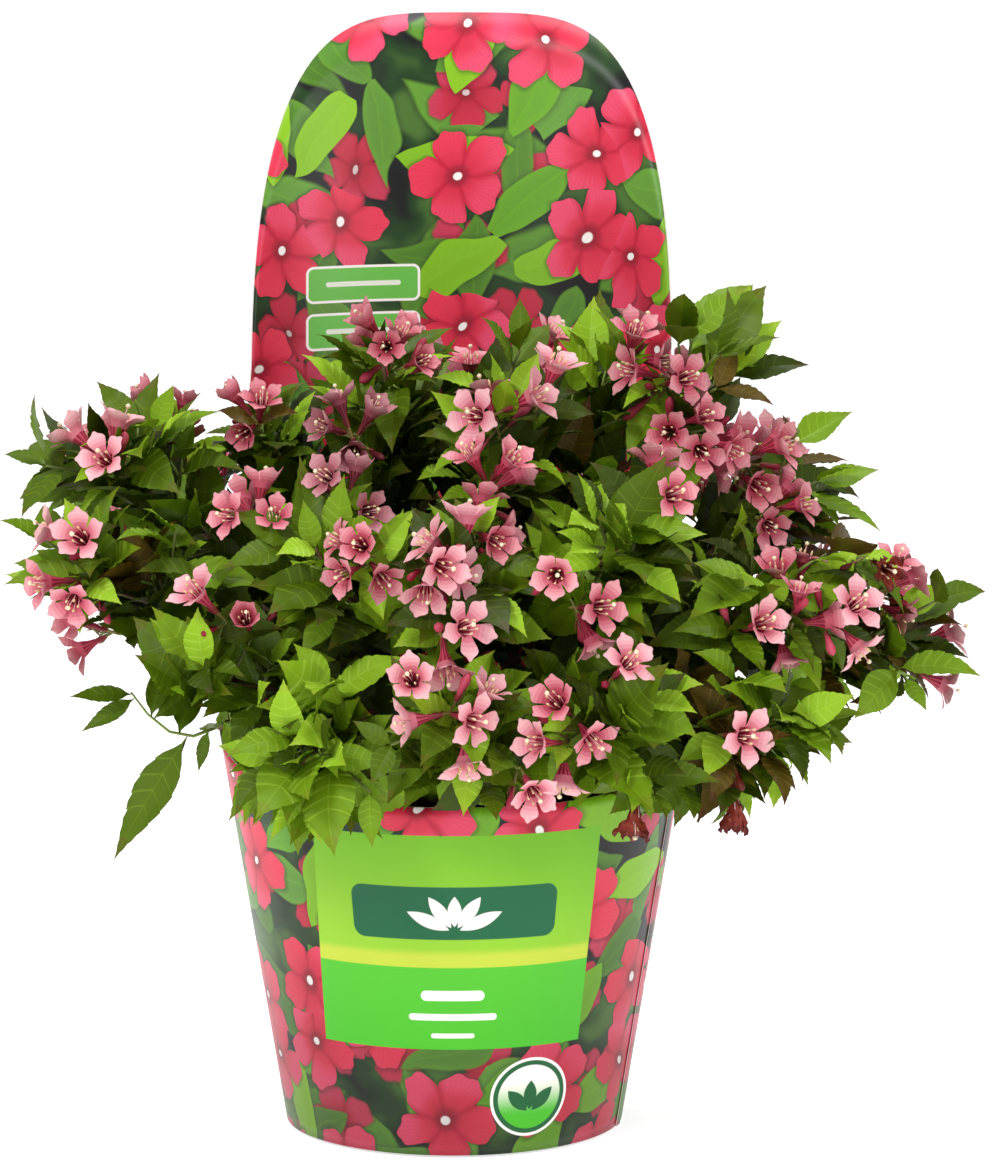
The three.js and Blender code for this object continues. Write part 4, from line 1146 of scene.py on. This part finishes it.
flowering = {
    "size": ((0.86, 1.0), (0.76, 0.92), (0.64, 0.8), (0.72, 0.86), (0.9, 1.0)),  # for each depth of pink
    "open": ((0, 0), (-4, -6), (-18, -16), (-10, -8), (-30, -10)),  # less spread and curl
    # the withered flowers: each one's root, its heading and how far it has shrunk
    "withered": (((92, -148, 206), (-0.1, -0.25, -1), 0.8), ((140, -122, 205), (0.05, -0.2, -1), 0.8),
                 ((212, -72, 306), (0.3, -0.9, -0.1), 0.85)),
    "apart": 23.0,  # between the mouths of two flowers
    "mouth": 22.0,  # how far the mouth is from the root
    "tries": 90,
    "stalk": 20,  # from the end of a cluster's twig to its middle
    "leanAlone": 14,  # how far one flower leans from its twig, in degrees
    "lean": (22, 74, 8),  # the same in a cluster, and how much further when space runs short
    "budShare": 0.7,
    "budLean": (35, 75),
    "budSize": (0.5, 0.95),
}
flowers, flowerTwigs = [], []


def twigPath(start, end, draw, steps=5):
    reach = np.linalg.norm(end - start)
    sway = np.array([draw.uniform(-1, 1), draw.uniform(-1, 1), 0.6]) * reach * 0.07
    return [lerp(start, end, t) + sway * math.sin(math.pi * t) for t in spread(steps)]


def shareAlong(number, point):
    # how far along a mass's stem a point is nearest
    run = stemTips[number] - stemFeet[number]
    return np.dot(point - stemFeet[number], run) / np.dot(run, run)


def addFlowerTwig(number, share, end, draw):
    path = twigPath(lerp(stemFeet[number], stemTips[number], share), end, draw)
    flowerTwigs.append({"path": path, "number": number, "order": 1})


def addFlower(root, direction, tone, stalk, draw, shrivel=0.0):
    flowers.append({
        "root": root, "direction": direction, "tone": tone, "stalk": stalk, "shrivel": shrivel,
        "size": draw.uniform(*flowering["size"][tone]), "mouth": root + direction * flowering["mouth"]})


def placeFlowers():
    draw = random.Random(5)
    low, high, more = flowering["lean"]
    for x, y, z, count, tone in clusters:
        middle = np.array([x, y, z], float)
        number = massOf(middle)
        share = min(0.85, max(0.1, np.clip(shareAlong(number, middle), 0, 1) - 0.2))
        start = lerp(stemFeet[number], stemTips[number], share)
        facing = unit(unit(middle - start) + unit(middle - heart) + up * 0.15)
        end = middle - facing * flowering["stalk"]
        addFlowerTwig(number, share, end, draw)
        got = 0
        for attempt in range(flowering["tries"]):
            if got == count:
                break
            back = draw.uniform(0, 5 + 4 * got)
            lean = flowering["leanAlone"] if count == 1 else draw.uniform(low, high + more * (attempt > 40))
            direction = branchOff(facing, draw.random() * fullTurn, lean)
            root = end - facing * (back - 6) + direction * 3
            mouth = root + direction * flowering["mouth"]
            apart = flowering["apart"] - 0.05 * attempt
            if any(np.linalg.norm(mouth - other["mouth"]) < apart for other in flowers):
                continue
            if keepsClearOfCard(np.array([mouth, root, mouth + direction * 6])):
                addFlower(root, direction, tone, end - facing * back, draw)
                got += 1
    for place, heading, shrivel in flowering["withered"]:
        root, direction = np.array(place, float), unit(np.array(heading))
        stalk = root - direction * 9
        addFlowerTwig(massOf(root), 0.5, stalk, draw)
        addFlower(root, direction, 4, stalk, draw, shrivel)


placeFlowers()
flowerMouths = np.array([f["mouth"] for f in flowers])
flowerHeadings = np.array([f["direction"] for f in flowers])
print(len(flowers), "flowers placed")


# leaves, twig by twig

growth = {
    "seed": 40,
    "leafLength": 64.0,
    "leafRange": (0.78, 1.15),
    "nodeStep": 17.0,  # between pairs of leaves along a twig
    "sideStep": 30.0,  # between rounds of side twigs along a stem
    "sideReach": (0.62, 0.24),  # their length as a share of the mass's reach, and how much less at the tip
    "sideRange": (0.75, 1.15),
    "sideLean": (50, 70),
    "sideLift": 0.15,
    "fineRange": (0.35, 0.6),  # length of a fine twig as a share of its side twig's
    "fineLean": 50,
    "fineLift": 0.2,
    "fineLeaf": 0.85,
    "apart": 4.4,  # between the blades of two leaves
    "lift": 0.2,  # how far a leaf turns up from its twig's rule
    "bend": (8, 58),
    "fold": (6, 34),
    "jitter": 0.32,
    "tries": ((0, 0), (0.3, 6), (-0.3, -6), (0.6, -10), (-0.6, 10), (0.9, 16), (-0.9, -16), (0.2, -26)),
    "sizes": (1.0, 0.86, 0.7),
    # size and lean of the pairs from a twig's tip down
    "pairSizes": (0.62, 0.86, 1.0, 1.05),
    "pairLeans": (26, 42, 54, 62),
    "flowerClear": 12.0,
    "flowerAhead": 24.0,
    "lowCorner": (-230, -184, 0),  # no leaf passes these
    "highCorner": (274, 184, 560),
    "facing": (0.0, -0.5, 0.0),  # added to the way that leaves face, outside the back
    "shootFurther": 9.0,
    "boughShare": 0.4,  # where a bough's own leaves begin
    "boughFurther": 34.0,
    # how low leaves hang: places to the right, and the least height at each
    "undersideX": (-240, -198, -155, -120, -108, -38, -28, 62, 70, 104, 120, 160, 185, 230, 262),
    "undersideZ": (300, 280, 255, 232, 156, 156, 188, 188, 172, 158, 166, 184, 208, 222, 238),
    # places on a blade that keep clear of other things, the first three of them near its root
    "touch": ((0, 0.2), (0.1, 0.35), (-0.1, 0.35), (0, 0.45), (0.2, 0.45), (-0.2, 0.45), (0.08, 0.65),
              (-0.08, 0.65), (0, 0.82), (0, 1.0)),
}
leafTouch = [int(np.argmin(np.linalg.norm(leafPoints[:, :2] - np.array(spot), axis=1)))
             for spot in growth["touch"]]
cellsRound = [(i, j, k) for i in (-1, 0, 1) for j in (-1, 0, 1) for k in (-1, 0, 1)]


class Crown:
    def __init__(self):
        self.leaves, self.twigs = [], []
        self.cells = {}  # the places that leaves already take, by cell
        self.tone = None  # of the leaves that grow next, where it isn't left to chance
        self.further = 0.0  # how far they may pass the space of their mass

    def mayStand(self, points, number, reach):
        core = points[leafTouch]
        if np.any(core[:, 2] < np.interp(core[:, 0], growth["undersideX"], growth["undersideZ"])):
            return False
        if not staysInSpace(core, number, reach + self.further, space["lap"] + self.further):
            return False
        if np.any(core < growth["lowCorner"]) or np.any(core > growth["highCorner"]):
            return False
        # open flowers keep the space before and round their mouths
        away = core[:, None] - flowerMouths
        ahead = np.einsum("pfk,fk->pf", away, flowerHeadings)
        aside = np.linalg.norm(away - ahead[..., None] * flowerHeadings, axis=2)
        if np.any((ahead > -8) & (ahead < growth["flowerAhead"]) & (aside < growth["flowerClear"])):
            return False
        return not any(self.isTaken(spot) for spot in core[3:].tolist())

    def homeOf(self, spot):
        return tuple(math.floor(v / growth["apart"]) for v in spot)

    def isTaken(self, spot):
        x, y, z = self.homeOf(spot)
        return any(math.dist(spot, other) < growth["apart"] for i, j, k in cellsRound
                   for other in self.cells.get((x + i, y + j, z + k), ()))

    def keep(self, points, number, root, young, tone):
        self.leaves.append({"points": points, "number": number, "young": young, "root": root, "tone": tone})
        for spot in points[leafTouch][3:].tolist():
            self.cells.setdefault(self.homeOf(spot), []).append(spot)

    def leaf(self, draw, number, root, axis, heading, degrees, size, young):
        mass = masses[massNames[number]]
        lift = up * (growth["lift"] - mass.get("droop", 0) * 0.6)
        facing = np.array(growth["facing"]) * (massNames[number][:4] != "back")
        for share in growth["sizes"]:
            for turn, lean in growth["tries"]:
                direction = unit(branchOff(axis, heading + turn, degrees + lean) + lift)
                jitter = np.array([draw.gauss(0, growth["jitter"]) for _ in range(3)])
                normal = square(up * 0.9 + unit(root - heart) * 0.8 + facing + jitter, direction)
                shape = bentLeaf(draw, size * share, draw.uniform(*growth["bend"]),
                                 draw.uniform(*growth["fold"]))
                points = placedLeaf(shape, root, direction, normal)
                if self.mayStand(points, number, mass["reach"]):
                    self.keep(points, number, root, young, self.tone)
                    return True
        return False

    def dress(self, draw, number, path, firstShare, size):
        # pairs of leaves along a twig, each pair a quarter turn on, smaller and younger to the tip
        lengths = np.concatenate([[0], np.cumsum([np.linalg.norm(b - a) for a, b in zip(path, path[1:])])])
        total = lengths[-1]
        heading = draw.random() * math.pi
        place = total - 1.0
        rank, furthest = 0, 0.0
        while place > total * firstShare:
            i = min(max(0, int(np.searchsorted(lengths, place)) - 1), len(path) - 2)
            share = (place - lengths[i]) / max(1e-6, lengths[i + 1] - lengths[i])
            root = lerp(path[i], path[i + 1], share)
            axis = unit(path[i + 1] - path[i])
            lean = growth["pairLeans"][min(rank, 3)] + draw.uniform(-8, 8)
            length = size * growth["pairSizes"][min(rank, 3)] * draw.uniform(*growth["leafRange"])
            young = max(0.0, 1 - rank * 0.4)
            grown = [self.leaf(draw, number, root, axis, heading + side, lean, length, young)
                     for side in (0.0, math.pi)]
            if any(grown):
                furthest = max(furthest, place / total)
            heading += math.pi / 2
            place -= growth["nodeStep"] * (0.55 if rank == 0 else draw.uniform(0.85, 1.15))
            rank += 1
        return furthest

    def grow(self, draw, number, path, firstShare, size, order):
        # a twig with its leaves, which ends at the last of them
        share = self.dress(draw, number, path, firstShare, size)
        kept = math.ceil(share * (len(path) - 1)) + 1
        if kept > 1:
            self.twigs.append({"path": path[:kept], "number": number, "order": order})


# the shoot that strays out over the rim on the left: its stem, and each leaf's root, tip and length
stray = {
    "stem": ((-122, -24, 212), (-134, -28, 208), (-146, -32, 211), (-157, -36, 221), (-165, -40, 233)),
    "leaves": (((-164, -40, 232), (-196, -52, 236), 34), ((-163, -39, 230), (-192, -48, 212), 33),
               ((-155, -35, 219), (-150, -34, 246), 36), ((-154, -35, 218), (-128, -36, 240), 40),
               ((-137, -29, 208), (-181, -44, 144), 76), ((-128, -26, 210), (-118, -60, 226), 36),
               ((-141, -31, 209), (-134, -24, 240), 44), ((-126, -26, 211), (-136, -20, 184), 26)),
    "slim": 0.68,
}


def growStray(crown, number):
    draw = random.Random(3)
    stem = [np.array(point, float) for point in stray["stem"]]
    crown.twigs.append({"path": stem, "number": number, "order": 2})
    for root, tip, length in stray["leaves"]:
        root, tip = np.array(root, float), np.array(tip, float)
        direction = unit(tip - root)
        normal = square(np.array([0.1, -0.75, 0.8]), direction)
        shape = bentLeaf(draw, length, draw.uniform(8, 24), draw.uniform(4, 18), stray["slim"])
        crown.keep(placedLeaf(shape, root, direction, normal), number, root, 0.5, 1)


def growMass(crown, number):
    name = massNames[number]
    if name == "strayShoot":
        growStray(crown, number)
        return
    mass, length = masses[name], growth["leafLength"]
    draw = random.Random(growth["seed"] + number)
    foot, tip, reach = stemFeet[number], stemTips[number], mass["reach"]
    bow = np.array([draw.random() - 0.5, draw.random() - 0.5, draw.random() * 0.6]) * 8

    def stemAt(t):
        return lerp(foot, tip, t) + bow * math.sin(math.pi * t)

    def fits(path, first):
        return staysInSpace(np.array(path[first:]), number, reach, space["twigLap"])

    longest, less = growth["sideReach"]
    stem = [stemAt(t) for t in spread(8)]
    crown.twigs.append({"path": stem, "number": number, "order": 0})
    crown.dress(draw, number, stem, 0.15, length)
    rounds = max(mass["pairs"], round(np.linalg.norm(tip - foot) / growth["sideStep"]))
    for k in range(rounds):
        t = (k + 0.5) / rounds
        axis = unit(stemAt(min(1, t + 0.05)) - stemAt(t - 0.05))
        heading = math.pi / 2 * k + draw.random() * 0.8
        for turn in (0, math.pi / 2 + 0.3, math.pi, 3 * math.pi / 2 + 0.3):
            far = reach * (longest - less * t) * draw.uniform(*growth["sideRange"])
            lean = draw.uniform(*growth["sideLean"])
            direction = unit(branchOff(axis, heading + turn, lean) + up * growth["sideLift"])
            path = twigPath(stemAt(t), stemAt(t) + direction * far, draw)
            if not fits(path, 2):
                path = twigPath(stemAt(t), stemAt(t) + direction * far * 0.6, draw)
                if not fits(path, 2):
                    continue
            crown.grow(draw, number, path, 0.3, length, 1)
            # finer twigs, a pair on each side twig
            for _ in range(2):
                way = branchOff(direction, draw.random() * fullTurn, growth["fineLean"])
                way = unit(way + up * growth["fineLift"])
                finer = twigPath(path[3], path[3] + way * far * draw.uniform(*growth["fineRange"]), draw, 3)
                if fits(finer, 1):
                    crown.grow(draw, number, finer, 0.5, length * growth["fineLeaf"], 2)


# leafy shoots between the stems: where each ends, and the number of its tone
shoots = [
    (-81, -20, 380, 0), (-102, -20, 301, 0), (-69, -20, 255, 0), (-43, -20, 246, 0), (-27, -20, 318, 0),
    (-104, -30, 217, 0), (-50, -20, 343, 0), (16, -30, 252, 0), (52, 0, 343, 0), (77, 0, 335, 0),
    (107, -20, 274, 0), (44, -30, 250, 0), (67, -20, 264, 0), (39, 0, 323, 0), (-60, 10, 290, 0),
    (-84, 0, 340, 0), (90, 10, 300, 0), (0, -10, 280, 0), (20, 10, 370, 0), (-90, -50, 262, 1),
    (-78, -62, 318, 1), (-9, -130, 204, 1), (19, -140, 204, 1), (54, -140, 201, 2), (116, -120, 199, 1),
    (-40, -150, 202, 2), (-56, -126, 178, 2), (98, -146, 200, 1), (-86, -104, 214, 2), (-30, -152, 226, 1),
    (76, -150, 232, 1), (-172, -46, 368, 3), (-27, -60, 401, 3), (-41, -110, 302, 3), (210, -90, 256, 3),
    (-60, -118, 250, 3), (126, -30, 400, 1), (115, -18, 410, 1), (122, -22, 414, 2), (134, -34, 406, 1),
    (134, -28, 388, 4), (176, -36, 368, 2), (34, -30, 408, 1), (-24, -146, 192, 0), (6, -152, 190, 1),
    (34, -152, 192, 0), (70, -150, 196, 2), (20, -120, 210, 0), (-70, 30, 300, 0), (-40, 30, 270, 0),
    (0, 30, 260, 0), (40, 30, 280, 0), (80, 30, 290, 0), (125, -60, 366, 2), (-206, -54, 352, 1),
    (-206, -60, 314, 2), (-192, -60, 290, 3), (-150, -60, 372, 2), (-140, -70, 320, 2), (172, -28, 358, 1),
    (186, -26, 340, 2), (246, -40, 280, 1), (230, -60, 244, 2), (176, -90, 222, 1), (168, -60, 316, 2),
    (150, -90, 300, 2), (214, -70, 322, 4), (236, -50, 318, 5), (176, -110, 232, 2),
]


def growShoot(crown, point, draw):
    end, number = np.array(point[:3], float), massOf(point[:3])
    share = float(np.clip(shareAlong(number, end), 0.15, 0.85)) - 0.12
    path = twigPath(lerp(stemFeet[number], stemTips[number], share), end, draw)
    crown.tone, crown.further = point[3], growth["shootFurther"]
    crown.grow(draw, number, path, 0.25, growth["leafLength"], 1)


def dressBough(crown, number):
    # leaves on the upper part of the bough itself, inside the crown, all in the first and darkest green tone
    # as painted shade
    curve = boughs[massNames[number]]["curve"]
    path = [curvePoint(curve, t) for t in np.linspace(growth["boughShare"], 1, 9)]
    crown.tone, crown.further = 0, growth["boughFurther"]
    crown.dress(random.Random(600 + number), number, path, 0.05, growth["leafLength"] * 0.9)


def growCrown():
    crown = Crown()
    for twig in flowerTwigs:
        crown.twigs.append(twig)
        crown.dress(random.Random(900 + len(crown.twigs)), twig["number"], twig["path"], 0.45,
                    growth["leafLength"] * 0.9)
    for index, point in enumerate(shoots):
        growShoot(crown, point, random.Random(300 + index))
    crown.tone, crown.further = None, 0.0
    for number in range(len(massNames)):
        growMass(crown, number)
    for number in range(len(massNames)):
        dressBough(crown, number)
    return crown


crown = growCrown()
print(len(crown.leaves), "leaves on", len(crown.twigs), "twigs")


# colours of the foliage, dealt out by spray: of the blade, its ribs and its tip. The first three tones are
# one green made darker and lighter: partly the leaves' own spread of greens, partly painted shade and
# painted light

leafTones = {
    "deepAndShaded": ((55, 72, 4), (72, 91, 14), (61, 61, 8)),
    "mid": ((81, 106, 8), (98, 125, 20), (87, 95, 12)),
    "freshAndLit": ((110, 144, 18), (130, 163, 37), (112, 134, 22)),
    "lime": ((144, 184, 36), (164, 199, 61), (148, 176, 44)),
    "bronze": ((87, 70, 16), (104, 87, 27), (81, 49, 18)),
    "wine": ((93, 45, 28), (112, 60, 39), (70, 30, 20)),
}
limeTone = 3
# each part of the crown with its shares of those tones in order, and its masses; the front has the most of
# the lighter green and the right the most of the darker, partly as painted light and painted shade
crownParts = {
    "left": ((30, 40, 20, 6, 4, 0), ("leftCrest", "leftEdge", "leftFlank", "strayShoot")),
    "top": ((34, 34, 14, 8, 8, 2), ("upperLeft", "topLeft", "topCentre", "topRight", "crestRight")),
    "front": ((26, 44, 24, 6, 0, 0), (
        "innerLeft", "centre", "centreRight", "frontRight", "frontCentre", "frontLeft")),
    "right": ((38, 32, 10, 4, 12, 4), ("shoulderRight", "right", "farRight", "rightLow")),
    "back": ((34, 38, 18, 6, 4, 0), ("backLeft", "backRight", "backCentre", "backLeftLow", "backRightLow")),
}


def toneOf(item, draw, spray):
    # most leaves keep their spray's tone
    if item["tone"] is not None:
        return item["tone"]
    if item["young"] > 0.9 and draw.random() < 0.4 and spray < limeTone:
        return limeTone
    if draw.random() < 0.25 and spray < limeTone:
        return draw.choice((0, 1, 2))
    return spray


def buildLeaves():
    finishes = [plainFinish(f"leaf_{name}_{region}", colour, 0.48, Specular_IOR_Level=0.18)
                for name, colours in leafTones.items()
                for region, colour in zip(("blade", "rib", "tip"), colours)]
    draw = random.Random(77)
    for part, (shares, names) in crownParts.items():
        gathered, sprays = Gathered(), {}
        for item in crown.leaves:
            if massNames[item["number"]] in names:
                spray = tuple(np.round(item["root"] / 30))
                if spray not in sprays:
                    sprays[spray] = draw.choices(range(len(leafTones)), shares)[0]
                tone = toneOf(item, draw, sprays[spray])
                gathered.add(item["points"], leafFaces, [tone * 3 + t for t in leafTints])
        newPiece("leaves_" + part, gathered, finishes, "foliage", *["mass_" + name for name in names])


def buildTwigs():
    gathered = Gathered()
    for item in crown.twigs:
        order, path = item["order"], item["path"]
        radii = [lerp(*shrub["twigs"][order], t) for t in spread(len(path) - 1)]
        addLimb(gathered, path, radii, 6 if order == 0 else 5, tint=order)
    for item in flowers:
        addLimb(gathered, [item["stalk"], item["root"] - item["direction"] * 8], [0.8, 0.6], 4, tint=2)
    newPiece("twigs", gathered, [
        plainFinish("twig_brown", (112, 82, 56), 0.75), plainFinish("twig_green", (98, 112, 44), 0.6),
        plainFinish("twig_young", (132, 158, 66), 0.55)], "bark", *["mass_" + name for name in massNames])


petalTones = ("throat", "heart", "flush", "blush", "blade", "margin")
# the petals' colours from throat to margin, for each depth of pink, and last of all withered
petalRamp = [
    ((146, 27, 54), (194, 74, 97), (211, 117, 133), (221, 142, 155), (229, 162, 170), (235, 178, 183)),
    ((132, 22, 46), (176, 54, 78), (190, 82, 102), (202, 106, 122), (214, 130, 142), (224, 152, 160)),
    ((113, 18, 35), (153, 41, 62), (175, 71, 88), (190, 94, 109), (202, 115, 127), (211, 133, 143)),
    ((97, 25, 37), (132, 51, 65), (153, 78, 89), (169, 100, 109), (180, 117, 125), (190, 133, 139)),
    ((93, 27, 19), (124, 39, 29), (142, 51, 39), (153, 62, 48), (134, 48, 39), (109, 37, 29)),
]


def stamp(gathered, form, root, side, axis, size, tints=None):
    # one form put at a root, along an axis, with its own tints or others
    points, faces, own = form
    other = np.cross(axis, side)
    place = root + (points[:, :1] * side + points[:, 1:2] * other + points[:, 2:3] * axis) * size
    gathered.add(place, faces, own if tints is None else tints)
    return place


def buildBlossom():
    finishes = [plainFinish(f"petal_{tone}_{depth}", colour, 0.5, Specular_IOR_Level=0.3)
                for depth, ramp in enumerate(petalRamp) for tone, colour in zip(petalTones, ramp)]
    draw = random.Random(21)
    petals, hearts, cups = Gathered(), Gathered(), Gathered()
    sprig, calyx, bud = sprigForm(), calyxForm(), budForm()
    for item in flowers:
        lessSpread, lessCurl = flowering["open"][item["tone"]]
        form = flowerForm(draw.uniform(*flower["spread"]) + lessSpread,
                          draw.uniform(*flower["curl"]) + lessCurl, draw, item["shrivel"])
        axis = item["direction"]
        side = square(level(draw.random() * fullTurn, 0.3), axis)
        at = (item["root"], side, axis, item["size"])
        firstTint = item["tone"] * len(petalTones)
        stamp(petals, form, *at, [firstTint + t for t in form[2]])
        stamp(hearts, sprig, *at)
        stamp(cups, calyx, *at)
        if draw.random() < flowering["budShare"]:
            # a bud beside the flower
            axis = branchOff(axis, draw.random() * 6.3, draw.uniform(*flowering["budLean"]))
            root, side = item["stalk"] + axis * 8, square(np.array([0.3, 0.5, 0.8]), axis)
            size = draw.uniform(*flowering["budSize"])
            if keepsClearOfCard(stamp(Gathered(), bud, root, side, axis, size)):
                stamp(petals, bud, root, side, axis, size, [firstTint + (size >= 0.75)] * len(bud[1]))
                stamp(cups, calyx, root, side, axis, 0.8)
    newPiece("petals", petals, finishes, "blossom", "mass_centre")
    newPiece("stamens", hearts, [
        plainFinish("thread_pale", (240, 196, 190), 0.5), plainFinish("anther_straw", (232, 206, 162), 0.7),
        plainFinish("stigma_cream", (234, 222, 186), 0.5)], "blossom")
    newPiece("calyces", cups, [
        plainFinish("ovary_green", (122, 112, 52), 0.55), plainFinish("sepal_red", (128, 62, 46), 0.55)],
        "blossom")


buildLeaves()
buildTwigs()
buildBlossom()
print("foliage and blossom made")
